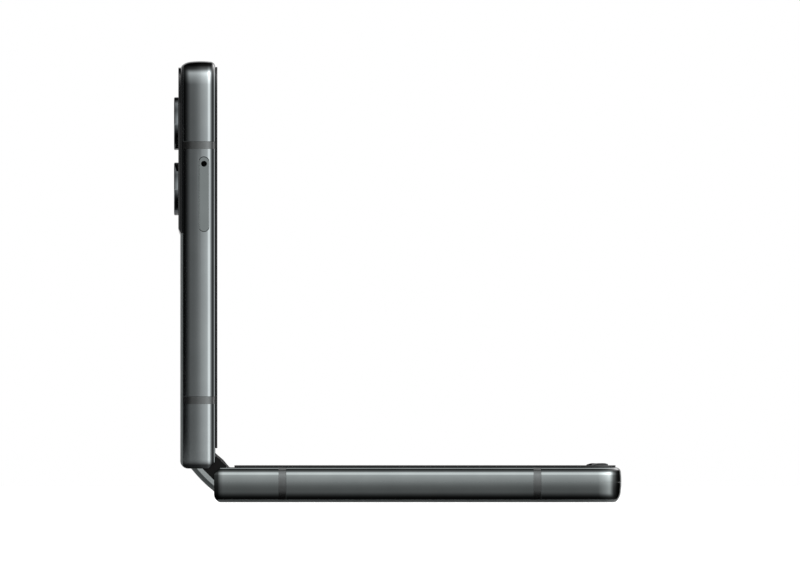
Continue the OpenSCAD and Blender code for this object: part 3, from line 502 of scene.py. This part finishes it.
# Lays the bumpers along the lip's round corners, where the photo shows them
def followCorner(mesh):
    low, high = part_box("base_bumpers")
    lipLow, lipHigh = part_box("base_display_lip")
    radius = bumpers["lipRadius"]
    for cut in range(1, bumpers["strips"]):
        cutAcross(mesh, low.x + (high.x - low.x) * cut / bumpers["strips"])
    across = lipHigh.x - radius
    for vert in mesh.verts:
        side, edge = (-1, lipLow.y) if vert.co.y < 0 else (1, lipHigh.y)
        middle = edge - side * radius
        along = low.x - across + (vert.co.x - low.x) * bumpers["length"] / (high.x - low.x)
        turn = along / (radius - bumpers["lipWidth"] / 2)
        reach = side * (vert.co.y - middle)
        vert.co.x = across + reach * math.sin(turn)
        vert.co.y = middle + side * reach * math.cos(turn)


shaping = {"spine_cover": roundEnds, "sim_tray": bowFace, "base_bumpers": followCorner}
work = {
    "weld": 0.0004 * mm,
    "flatAngle": 0.4,
    "edgeBreak": 0.05 * mm,
    "edgeAngle": 42,
    "edgeSegments": 2,
}


# A worked copy of a node of the frame: its triangles merged to faces and its sharp edges broken
def workedCopy(node, name, edgeBreak):
    mesh = bmesh.new()
    mesh.from_mesh(nodes[node].data)
    bmesh.ops.remove_doubles(mesh, verts=mesh.verts, dist=work["weld"])
    bmesh.ops.dissolve_limit(mesh, angle_limit=math.radians(work["flatAngle"]), verts=mesh.verts,
                             edges=mesh.edges)
    if node in shaping:
        shaping[node](mesh)
    if edgeBreak:
        limit = math.radians(work["edgeAngle"])
        sharp = [edge for edge in mesh.edges
                 if len(edge.link_faces) == 2 and edge.calc_face_angle(0) > limit]
        roundEdges(mesh, sharp, edgeBreak, work["edgeSegments"])
    piece = addPiece(name, mesh)
    softenShading(piece)
    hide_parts(node)
    return piece


shells = {
    "base_frame": ("baseRails", "base", "baseRail", "rail"),
    "lid_frame": ("lidRails", "lid", "lidRail", "rail"),
    "base_antenna_bands": ("baseAntennaBands", "base", "baseBand", "antenna_plastic"),
    "lid_antenna_bands": ("lidAntennaBands", "lid", "lidBand", "antenna_plastic"),
    "base_back_cover": ("baseBackCover", "base", "backGlass", "back_glass"),
    "lid_back_cover": ("lidBackCover", "lid", "backGlass", "back_glass"),
    "cover_glass": ("coverGlass", "lid", "darkGlass", "dark_glass"),
    "base_display_lip": ("baseLip", "base", "lip", "lip"),
    "lid_display_lip": ("lidLip", "lid", "lip", "lip"),
    "base_bumpers": ("baseBumpers", "base", "bumper", "bumper"),
    "spine_cover": ("spineCover", "spine", "spine", "rail"),
    "spine_end_caps": ("spineEndCaps", "spine", "cap", "lip"),
    "volume_key": ("volumeKey", "volume_key", "rail", "rail"),
    "side_key": ("sideKey", "side_key", "rail", "rail"),
    "sim_tray": ("simTray", "sim_tray", "rail", "rail"),
    "usb_socket": ("usbShell", "base", "steel", "steel"),
}
# Fine edges stay as they are
unbroken = ("base_antenna_bands", "lid_antenna_bands", "base_bumpers", "sim_tray")

for node, (name, body, finish, slot) in shells.items():
    edgeBreak = 0 if node in unbroken else work["edgeBreak"]
    piece = finishPiece(workedCopy(node, name, edgeBreak), finishes[finish])
    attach(piece, body)


# Painted shade: the hole for the tray's pin gets a dark material inside
def paintPinHoleShade(piece):
    low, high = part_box("sim_tray")
    middle = Vector(((low.x + high.x) / 2, 0, cadHigh.z - tray["pinFromEnd"]))
    mouth, bottom = (low.y + depth for depth in tray["pinDepth"])
    piece.data.materials.append(finishes["shade"])
    for polygon in piece.data.polygons:
        off = polygon.center - middle
        if math.hypot(off.x, off.z) < tray["pinRadius"] and mouth < polygon.center.y < bottom:
            polygon.material_index = 1


# Painted highlight: the spine's flat ends get a lighter metal
def paintSpineEndHighlight(piece):
    low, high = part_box("spine_cover")
    piece.data.materials.append(finishes["paintedEndHighlight"])
    for polygon in piece.data.polygons:
        depth = min(polygon.center.y - low.y, high.y - polygon.center.y)
        if abs(polygon.normal.y) > spine["endFacing"] and depth < spine["endDepth"]:
            polygon.material_index = 1


paintPinHoleShade(bpy.data.objects["simTray"])
paintSpineEndHighlight(bpy.data.objects["spineCover"])
print("shells ready:", len(shells))


# Round pieces, each an outline of (radius, height) in mm, spun about its axis
def spunPiece(name, outline, centres, outward, finish, segments=96, sharpAngle=24,
              weld=0.0005 * mm):
    mesh = bmesh.new()
    side = Vector(outward).orthogonal().normalized()
    for centre in centres:
        verts = [mesh.verts.new(centre + side * radius * mm + Vector(outward) * height * mm)
                 for radius, height in outline]
        edges = [mesh.edges.new(pair) for pair in zip(verts, verts[1:])]
        bmesh.ops.spin(mesh, geom=verts + edges, cent=centre, axis=outward, angle=math.tau,
                       steps=segments, use_merge=True, use_duplicate=False)
    bmesh.ops.remove_doubles(mesh, verts=mesh.verts, dist=weld)
    bmesh.ops.recalc_face_normals(mesh, faces=mesh.faces)
    piece = finishPiece(addPiece(name, mesh), finishes[finish])
    softenShading(piece, sharpAngle)
    return piece


def arcOutline(centre, radius, start, end, count=6):
    turns = [math.radians(start + (end - start) * i / count) for i in range(count + 1)]
    return [(centre[0] + radius * math.cos(turn), centre[1] + radius * math.sin(turn))
            for turn in turns]


back, towardLid = (-1, 0, 0), (1, 0, 0)

# Turned ring: a polished outer wall over a small foot groove, a flat rim, and a stepped bore
ring = {
    "wall": 1.15,        # all in mm
    "collar": 0.6,        # inside the glass
    "depth": 0.94,        # below the glass
    "boreSteps": ((0.0, 0.36), (0.12, 0.3), (0.2, 0.08)),        # out from the bore, and down
    "boreRound": (0.3, 0.1),        # its centre out from the bore, and its radius
    "rimRound": 0.24,
    "groove": (0.05, 0.1, 0.16),        # its depth, its height, and where the wall starts
}
ringLow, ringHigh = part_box("camera_rings")
ringReach = (ringHigh.y - ringLow.y) / 2
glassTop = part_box("cover_glass")[0].x
cameraCentres = [Vector((glassTop, (ringLow.y + ringHigh.y) / 2, z))
                 for z in (ringLow.z + ringReach, ringHigh.z - ringReach)]
ringR, rise = ringReach / mm, (glassTop - ringLow.x) / mm
bore, collar = ringR - ring["wall"], ringR - ring["collar"]
(roundOut, roundR), rimR = ring["boreRound"], ring["rimRound"]
grooveDepth, grooveTop, wallFoot = ring["groove"]
ringOutline = ([(bore, -ring["depth"])]
               + [(bore + out, rise - down) for out, down in ring["boreSteps"]]
               + arcOutline((bore + roundOut, rise - roundR), roundR, 180, 90, 3)
               + arcOutline((ringR - rimR, rise - rimR), rimR, 90, 0)
               + [(ringR, wallFoot), (ringR - grooveDepth, grooveTop), (ringR - grooveDepth, 0.0),
                  (collar, 0.0), (collar, -ring["depth"]), (bore, -ring["depth"])])
rings = spunPiece("cameraRings", ringOutline, cameraCentres, back, "cameraMetal")
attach(rings, "lid")
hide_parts("camera_rings")

# Behind a clear window: a black stepped baffle, and the domed front element in its middle
optics = {
    "play": 0.02,        # beside the bore, all in mm
    "windowDepth": 0.22,
    "windowChamfer": 0.05,
    "baffleDepth": 0.6,
    "baffleTop": 0.26,
    "baffleSteps": ((3.0, 0.26), (2.92, 0.3), (2.92, 0.34), (2.6, 0.36), (2.55, 0.42), (2.2, 0.44),
                    (2.12, 0.5), (1.7, 0.52)),        # radius, and down from the window's top
    "domeRadius": 3.85,
    "domeCentre": 4.15,
    "domeFrom": 63.8,        # in degrees
}
lensTop = (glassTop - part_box("camera_lenses")[0].x) / mm
opticR = bore - optics["play"]
steps = [(radius, lensTop - down) for radius, down in optics["baffleSteps"]]
windowOutline = [(0, lensTop - optics["windowDepth"]), (opticR, lensTop - optics["windowDepth"]),
                 (opticR, lensTop - optics["windowChamfer"]),
                 (opticR - optics["windowChamfer"], lensTop), (0, lensTop)]
baffleOutline = ([(0, lensTop - optics["baffleDepth"]), (opticR, lensTop - optics["baffleDepth"]),
                  (opticR, lensTop - optics["baffleTop"])] + steps + [(0, steps[-1][1])])
elementOutline = steps[-1:] + arcOutline((0, lensTop - optics["domeCentre"]), optics["domeRadius"],
                                         optics["domeFrom"], 90, 10)
for name, outline, finish in (("cameraWindows", windowOutline, "window"),
                              ("cameraBaffles", baffleOutline, "cap"),
                              ("cameraElements", elementOutline, "lens")):
    optic = spunPiece(name, outline, cameraCentres, back, finish)
    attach(optic, "lid")
    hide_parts("camera_lenses")

# Flash: a moulded lens with rings of prisms under its rim
flash = {
    "depth": 1.4,        # all in mm
    "rimRound": 0.06,
    "rimWidth": 0.2,
    "rimFoot": (0.22, 0.12),        # in from the edge, and down
    "prisms": 5,
    "prismPitch": 0.22,
    "prismTop": (0.3, 0.02),
    "prismFoot": (0.34, 0.14),
    "middle": 0.05,
}
flashLow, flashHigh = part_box("flash")
flashR = (flashHigh.y - flashLow.y) / 2 / mm
flashTop = Vector((flashLow.x, (flashLow.y + flashHigh.y) / 2, (flashLow.z + flashHigh.z) / 2))
prisms = [(flashR - inward - flash["prismPitch"] * k, -down) for k in range(flash["prisms"])
          for inward, down in (flash["prismTop"], flash["prismFoot"])]
flashOutline = ([(0, -flash["depth"]), (flashR, -flash["depth"]), (flashR, -flash["rimRound"]),
                 (flashR - flash["rimRound"], 0), (flashR - flash["rimWidth"], 0),
                 (flashR - flash["rimFoot"][0], -flash["rimFoot"][1])]
                + prisms + [(0, -flash["middle"])])
lamp = spunPiece("flashLens", flashOutline, [flashTop], back, "flash", 64)
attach(lamp, "lid")
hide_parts("flash")

# Camera behind the display: a barrel with a stepped front and a small domed element
selfie = {
    "rimChamfer": 0.05,        # all in mm
    "steps": ((1.35, 0), (1.3, 0.06), (1.1, 0.1), (1.05, 0.22), (0.8, 0.26)),        # radius, down
    "domeRadius": 2.285,
    "domeCentre": 2.4,
    "domeFrom": 69.5,        # in degrees
}
selfieLow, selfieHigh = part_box("selfie_camera")
selfieR = (selfieHigh.y - selfieLow.y) / 2 / mm
selfieDepth = (selfieHigh.x - selfieLow.x) / mm
selfieTop = Vector((selfieHigh.x, (selfieLow.y + selfieHigh.y) / 2,
                    (selfieLow.z + selfieHigh.z) / 2))
steps = [(radius, -down) for radius, down in selfie["steps"]]
barrelOutline = ([(0, -selfieDepth), (selfieR, -selfieDepth), (selfieR, -selfie["rimChamfer"]),
                  (selfieR - selfie["rimChamfer"], 0)] + steps + [(0, steps[-1][1])])
selfieOutline = steps[-1:] + arcOutline((0, -selfie["domeCentre"]), selfie["domeRadius"],
                                        selfie["domeFrom"], 90, 8)
for name, outline, finish in (("selfieBarrel", barrelOutline, "cap"),
                              ("selfieElement", selfieOutline, "lens")):
    part = spunPiece(name, outline, [selfieTop], towardLid, finish, 64)
    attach(part, "lid")
    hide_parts("selfie_camera")

tongue = {
    "nose": 0.22 * mm,
    "noseSegments": 4,
    "contacts": 12,
    "pitch": 0.5 * mm,
    "contactSize": (3.6 * mm, 0.26 * mm, 0.03 * mm),
    "contactFromEnd": 2.4 * mm,        # its middle
    "contactProud": 0.005 * mm,
}


def addBlock(mesh, size, centre):
    verts = bmesh.ops.create_cube(mesh, size=1)["verts"]
    bmesh.ops.scale(mesh, vec=size, verts=verts)
    bmesh.ops.translate(mesh, vec=centre, verts=verts)
    return verts


# Tongue of the socket: a moulded bar with a rounded nose and plated contacts on both faces
def makeTongue():
    low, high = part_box("usb_tongue")
    mesh = bmesh.new()
    addBlock(mesh, high - low, (low + high) / 2)
    nose = [edge for edge in mesh.edges
            if all(vert.co.x > high.x - touching for vert in edge.verts)]
    roundEdges(mesh, nose, tongue["nose"], tongue["noseSegments"])
    for side, z in ((-1, low.z), (1, high.z)):
        for contact in range(tongue["contacts"]):
            place = (contact - (tongue["contacts"] - 1) / 2) * tongue["pitch"]
            centre = (high.x - tongue["contactFromEnd"], (low.y + high.y) / 2 + place,
                      z + side * tongue["contactProud"])
            plate = addBlock(mesh, tongue["contactSize"], centre)
            for face in {face for vert in plate for face in vert.link_faces}:
                face.material_index = 1
    piece = finishPiece(addPiece("usbTongue", mesh), finishes["cap"])
    piece.data.materials.append(finishes["gold"])
    softenShading(piece, 40)
    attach(piece, "base")
    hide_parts("usb_tongue")


makeTongue()
print("camera and socket ready")


# Hinge geometry, from the two fold joints
baseAxis = Vector(joints["base_fold"]["pos_m"])
lidAxis = Vector(joints["lid_fold"]["pos_m"])
axisReach = (lidAxis - baseAxis).length / 2        # from either axis to the fold, on a flat phone
restTurn = math.radians(-joints["base_fold"]["range_deg"][0])        # the spine's turn since flat

# The folding display: one flexible sheet on each half, bending over the hinge to meet at the crease
display = {
    "thickness": 0.45 * mm,
    "cornerRadius": 6.8 * mm,
    "cornerSegments": 20,
    "bendLength": 7.6 * mm,        # from the crease, along a flat phone
    "bendCuts": 38,
    "cutBeyond": 1.04,        # the cuts reach a little past the bend
    "selfieHole": 3.4 * mm,
    "drill": (48, 4 * mm),        # segments and depth
}
panelLow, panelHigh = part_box("base_display_panel")
foldAcross = baseAxis.x - axisReach        # the fold, with the phone flat and the base at rest


def turnAbout(point, centre, angle):
    return centre + Matrix.Rotation(angle, 3, "Y") @ (point - centre)


creaseFlat = Vector((foldAcross, 0, panelHigh.z))
bendFrom = creaseFlat + Vector((display["bendLength"], 0, 0))
bendTo = turnAbout(creaseFlat, baseAxis, restTurn)


# Where a point of the flat sheet lies at rest, turned by the very share that the blend will give
# it there. The share is found step by step
def bendAtRest(point, steps=60, pace=0.6):
    along = (bendTo - bendFrom).xz
    share, turned = 0.0, point
    for step in range(steps):
        turned = turnAbout(point, baseAxis, restTurn * share)
        t = min(1.0, max(0.0, (turned - bendFrom).xz.dot(along) / along.length_squared))
        share += pace * (t * t * (3 - 2 * t) - share)
    return turned


# Mirrors a point of the base's side to the lid's, in the plane half way between the two axes
def acrossHinge(point):
    normal = (lidAxis - baseAxis).normalized()
    return point - 2 * (point - (baseAxis + lidAxis) / 2).dot(normal) * normal


def displaySheet():
    size = Vector((panelHigh.x - foldAcross, panelHigh.y - panelLow.y, display["thickness"]))
    centre = Vector((panelHigh.x - size.x / 2, (panelHigh.y + panelLow.y) / 2,
                     panelHigh.z - size.z / 2))
    mesh = bmesh.new()
    addBlock(mesh, size, centre)
    corners = [edge for edge in mesh.edges
               if all(vert.co.x > centre.x for vert in edge.verts)
               and abs(edge.verts[0].co.z - edge.verts[1].co.z) > size.z / 2]
    roundEdges(mesh, corners, display["cornerRadius"], display["cornerSegments"])
    return mesh


def cutForBend(mesh):
    for cut in range(1, display["bendCuts"] + 1):
        reach = display["bendLength"] * display["cutBeyond"] * cut / display["bendCuts"]
        cutAcross(mesh, foldAcross + reach)


# The selfie camera's hole is cut while the sheet is flat
def cutSelfieHole(mesh):
    cameraLow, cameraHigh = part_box("selfie_camera")
    middle = acrossHinge((cameraLow + cameraHigh) / 2)        # as if the lid were the base
    sheet = addPiece("sheetBlank", mesh)
    drill = bmesh.new()
    segments, depth = display["drill"]
    radius = display["selfieHole"] / 2
    bmesh.ops.create_cone(drill, cap_ends=True, segments=segments, radius1=radius, radius2=radius,
                          depth=depth)
    bmesh.ops.translate(drill, vec=(middle.x, middle.y, panelHigh.z), verts=drill.verts)
    cutter = addPiece("drill", drill)
    hole = sheet.modifiers.new("hole", "BOOLEAN")
    hole.object, hole.solver = cutter, "EXACT"
    drilled = bmesh.new()
    drilled.from_object(sheet, bpy.context.evaluated_depsgraph_get())
    for spare in (sheet, cutter):
        bpy.data.objects.remove(spare)
    return drilled


def makeDisplay():
    lower = displaySheet()
    upper = cutSelfieHole(displaySheet())
    sheets = {"baseDisplay": (lower, "base", False), "lidDisplay": (upper, "lid", True)}
    for name, (mesh, body, mirrored) in sheets.items():
        cutForBend(mesh)
        for vert in mesh.verts:
            vert.co = bendAtRest(vert.co)
            if mirrored:
                vert.co = acrossHinge(vert.co)
        if mirrored:
            bmesh.ops.reverse_faces(mesh, faces=mesh.faces)
        piece = finishPiece(addPiece(name, mesh), finishes["display"])
        softenShading(piece, 35)
        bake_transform(piece)
        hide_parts(body + "_display_panel")
        if not mirrored:
            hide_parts("crease_strip")


makeDisplay()
print("display ready")


# The frame's other nodes keep their own shape and get their finish
insideFinish = {
    "steel": ("base_support_sheet", "lid_support_sheet", "base_hinge_arms", "lid_hinge_arms",
              "base_screws", "lid_screws", "microphone", "vibration_motor", "shield_cans",
              "sim_reader", "hinge_brackets", "hinge_shafts", "detent_springs", "crease_support"),
    "copper": ("detent_followers", "charging_coil", "key_switches", "hinge_flex_cable"),
    "foil": ("base_battery", "lid_battery"),
    "board": ("sub_board", "main_board"),
    "module": ("loudspeaker", "camera_modules", "earpiece"),
    "display": ("cover_display",),
}
for finish, members in insideFinish.items():
    for node in members:
        nodes[node].data.materials.clear()
        nodes[node].data.materials.append(finishes[finish])
print("inside finished")


# Light: a studio as metal and glass see it, and plain even light for matt surfaces
studio = {
    "ambient": 0.62,        # what matt surfaces get from all round
    # brightness by twice a surface's tilt from the camera, in degrees: the same across and up
    "boxes": ((-180, 1.0), (-125, 1.0), (-105, 0.3), (-88, 0.04), (-58, 0.01), (-46, 0.03),
              (-36, 0.09), (-28, 0.18), (-21, 0.29), (-14, 0.38), (-9, 0.42), (-5, 0.56), (0, 1.0),
              (20, 1.02), (40, 1.06), (56, 1.1), (68, 1.2), (79, 1.3), (89, 1.42), (97, 1.5),
              (104, 1.3), (111, 1.1), (118, 0.5), (126, 0.08), (140, 0.01), (180, 0.01)),
    # a narrow lamp where the boxes are brighter than "from". It fades where the other way is dark
    "strip": {"level": 1.2, "from": 1.1, "fades": 0.25},
    "backdrop": (0.86, 0.94),        # where it begins and is full, as the cosine from behind
    "backdropLevel": 0.6,        # as metal and glass see it
    # a lit wall low on the fold's side, by the sines of the tilt where it begins and is full
    "wall": {"level": 0.5, "across": (-0.09, -0.34), "up": (-0.04, -0.17)},
}


# A grey level from a ramp over an angle, the sine of whose half comes in
def boxRamp(tree, sine, peak):
    half = addNode(tree, "ShaderNodeMath", {0: sine}, operation="ARCSINE")
    place = addNode(tree, "ShaderNodeMapRange", {"Value": half.outputs[0],
                                                 "From Min": -math.pi / 2, "From Max": math.pi / 2})
    ramp = addNode(tree, "ShaderNodeValToRGB", {"Fac": place.outputs["Result"]})
    fillRamp(ramp, [(0.5 + at / 360, level / peak) for at, level in studio["boxes"]])
    return ramp.outputs["Color"]


# The strip lamp's share: where one ramp is at its brightest and the other isn't dark
def stripShare(tree, along, crossing, peak):
    bright = addNode(tree, "ShaderNodeMapRange",
                     {"Value": along, "From Min": studio["strip"]["from"] / peak})
    faded = addNode(tree, "ShaderNodeMapRange",
                    {"Value": crossing, "From Max": studio["strip"]["fades"] / peak})
    return addNode(tree, "ShaderNodeMath",
                   {0: bright.outputs["Result"], 1: faded.outputs["Result"]},
                   operation="MULTIPLY").outputs[0]


# Metal and glass see the white backdrop behind, and before the object soft boxes, the strip lamp
# and the lit wall in a dark room
def makeWorld():
    world = bpy.data.worlds.new("studio")
    world.use_nodes = True
    scene.world = world
    tree = world.node_tree
    tree.nodes.clear()
    direction = addNode(tree, "ShaderNodeTexCoord").outputs["Generated"]
    ahead = addNode(tree, "ShaderNodeSeparateXYZ", {"Vector": direction}).outputs["Y"]
    bent = addNode(tree, "ShaderNodeVectorMath", {0: direction, 1: (0, 1, 0)},
                   operation="SUBTRACT")
    tilt = addNode(tree, "ShaderNodeVectorMath", {0: bent.outputs[0]}, operation="NORMALIZE")
    tilts = addNode(tree, "ShaderNodeSeparateXYZ", {"Vector": tilt.outputs[0]})
    peak = max(level for at, level in studio["boxes"])
    faceOn = dict(studio["boxes"])[0]
    across, up = (boxRamp(tree, tilts.outputs[axis], peak) for axis in ("X", "Z"))
    both = addNode(tree, "ShaderNodeMath", {0: across, 1: up}, operation="MULTIPLY")
    strips = addNode(tree, "ShaderNodeMath", {0: stripShare(tree, across, up, peak),
                                              1: stripShare(tree, up, across, peak)})
    strip = addNode(tree, "ShaderNodeMath", {0: strips.outputs[0], 1: studio["strip"]["level"]},
                    operation="MULTIPLY")
    sides = []
    for axis, side in (("X", "across"), ("Z", "up")):
        begins, full = studio["wall"][side]
        sides.append(addNode(tree, "ShaderNodeMapRange",
                             {"Value": tilts.outputs[axis], "From Min": begins, "From Max": full}))
    share = addNode(tree, "ShaderNodeMath", {0: sides[0].outputs["Result"],
                                             1: sides[1].outputs["Result"]}, operation="MULTIPLY")
    wall = addNode(tree, "ShaderNodeMath", {0: share.outputs[0], 1: studio["wall"]["level"],
                                            2: strip.outputs[0]}, operation="MULTIPLY_ADD")
    total = addNode(tree, "ShaderNodeMath", {0: both.outputs[0], 1: peak ** 2 / faceOn,
                                             2: wall.outputs[0]}, operation="MULTIPLY_ADD")
    begins, full = studio["backdrop"]
    backdrop = addNode(tree, "ShaderNodeMapRange",
                       {"Value": ahead, "From Min": begins, "From Max": full})
    boxes, even, paper, white = (
        addNode(tree, "ShaderNodeBackground", {"Color": (1, 1, 1, 1), "Strength": strength})
        for strength in (total.outputs[0], studio["ambient"], studio["backdropLevel"], 1.0))
    rays = addNode(tree, "ShaderNodeLightPath")
    room = addNode(tree, "ShaderNodeMixShader", {0: backdrop.outputs["Result"],
                                                 1: boxes.outputs[0], 2: paper.outputs[0]})
    lit = addNode(tree, "ShaderNodeMixShader", {0: rays.outputs["Is Diffuse Ray"],
                                                1: room.outputs[0], 2: even.outputs[0]})
    seen = addNode(tree, "ShaderNodeMath", {0: rays.outputs["Is Camera Ray"],
                                            1: rays.outputs["Is Transmission Ray"]},
                   operation="MAXIMUM")
    mixed = addNode(tree, "ShaderNodeMixShader", {0: seen.outputs[0], 1: lit.outputs[0],
                                                  2: white.outputs[0]})
    addNode(tree, "ShaderNodeOutputWorld", {"Surface": mixed.outputs[0]})


lamps = {
    "overhead": {"at": (0.0, 0.0, 1.1), "size": (0.9, 0.5), "radiance": 2.4},
    "freeEnd": {"at": (1.15, 0.0, 0.05), "size": (0.9, 0.5), "radiance": 2.4},
}


def makeLamps():
    for name, lamp in lamps.items():
        data = bpy.data.lights.new(name, "AREA")
        data.shape = "RECTANGLE"
        data.size, data.size_y = lamp["size"]
        data.energy = lamp["radiance"] * math.pi * data.size * data.size_y
        light = bpy.data.objects.new(name, data)
        light.location = lamp["at"]
        light.rotation_mode = "QUATERNION"
        light.rotation_quaternion = (-Vector(lamp["at"])).to_track_quat("-Z", "Y")
        light.visible_camera = light.visible_glossy = False
        scene.collection.objects.link(light)


table = {
    "size": 3.5,        # in metres
    "tone": "#E6E6E6",
    "glow": "#BEBEBE",        # lifts it to white in the picture
    "glowShare": 0.3,        # of that, in reflections
    "reach": (300 * mm, 2500 * mm),        # how far off reflections begin to see it and see it full
    "behind": (1 * mm, 5 * mm, 25 * mm, 50 * mm),        # and behind the object, where they do too
    "aside": (10 * mm, 40 * mm),        # where that strip ends, to either side
}


# A pale tabletop that reaches white and keeps the shadow. Reflections see it far off and in a
# strip close behind the object. Between these they see the room instead
def makeFloor():
    mesh = bmesh.new()
    bmesh.ops.create_grid(mesh, x_segments=1, y_segments=1, size=table["size"])
    floor = addPiece("tabletop", mesh)
    material, tree = newMaterial("paleTabletop")
    rays = addNode(tree, "ShaderNodeLightPath")
    seen = addNode(tree, "ShaderNodeMath", {0: rays.outputs["Is Glossy Ray"],
                                            1: table["glowShare"],
                                            2: rays.outputs["Is Camera Ray"]},
                   operation="MULTIPLY_ADD")
    matt = addNode(tree, "ShaderNodeBsdfDiffuse", {"Color": linear(table["tone"])})
    fill = addNode(tree, "ShaderNodeEmission", {"Strength": seen.outputs[0],
                                                "Color": linear(table["glow"])})
    both = addNode(tree, "ShaderNodeAddShader", {0: matt.outputs[0], 1: fill.outputs[0]})
    place = addNode(tree, "ShaderNodeTexCoord").outputs["Object"]
    middle = (cadLow + cadHigh) / 2
    half = (cadHigh - cadLow) / 2
    offset = addNode(tree, "ShaderNodeVectorMath", {0: place, 1: middle}, operation="SUBTRACT")
    flat = addNode(tree, "ShaderNodeVectorMath", {0: offset.outputs[0], 1: (1, 1, 0)},
                   operation="MULTIPLY")
    size = addNode(tree, "ShaderNodeVectorMath", {0: flat.outputs[0]}, operation="ABSOLUTE")
    beyond = addNode(tree, "ShaderNodeVectorMath", {0: size.outputs[0], 1: half},
                     operation="SUBTRACT")
    outside = addNode(tree, "ShaderNodeVectorMath", {0: beyond.outputs[0], 1: (0, 0, 0)},
                      operation="MAXIMUM")
    reach = addNode(tree, "ShaderNodeVectorMath", {0: outside.outputs[0]}, operation="LENGTH")
    begins, full = table["reach"]
    near = addNode(tree, "ShaderNodeMapRange",
                   {"Value": reach.outputs["Value"], "From Min": begins, "From Max": full,
                    "To Min": 1.0, "To Max": 0.0})
    depth = addNode(tree, "ShaderNodeSeparateXYZ", {"Vector": place}).outputs["Y"]
    starts, full, fades, ends = (cadHigh.y + step for step in table["behind"])
    inFront = addNode(tree, "ShaderNodeMapRange",
                      {"Value": depth, "From Min": full, "From Max": starts})
    farBehind = addNode(tree, "ShaderNodeMapRange",
                        {"Value": depth, "From Min": fades, "From Max": ends})
    beside = addNode(tree, "ShaderNodeSeparateXYZ", {"Vector": outside.outputs[0]}).outputs["X"]
    fades, ends = table["aside"]
    aside = addNode(tree, "ShaderNodeMapRange",
                    {"Value": beside, "From Min": fades, "From Max": ends})
    hidden = addNode(tree, "ShaderNodeMath", {0: inFront.outputs["Result"],
                                              1: farBehind.outputs["Result"]}, operation="MAXIMUM")
    offStrip = addNode(tree, "ShaderNodeMath", {0: hidden.outputs[0], 1: aside.outputs["Result"]},
                       operation="MAXIMUM")
    clearNear = addNode(tree, "ShaderNodeMath", {0: near.outputs["Result"],
                                                 1: offStrip.outputs[0]}, operation="MULTIPLY")
    unseen = addNode(tree, "ShaderNodeMath", {0: clearNear.outputs[0],
                                              1: rays.outputs["Is Glossy Ray"]},
                     operation="MULTIPLY")
    clear = addNode(tree, "ShaderNodeBsdfTransparent")
    surface = addNode(tree, "ShaderNodeMixShader", {0: unseen.outputs[0], 1: both.outputs[0],
                                                    2: clear.outputs[0]})
    addNode(tree, "ShaderNodeOutputMaterial", {"Surface": surface.outputs[0]})
    floor.data.materials.append(material)


makeWorld()
makeLamps()
makeFloor()
print("light and table ready")
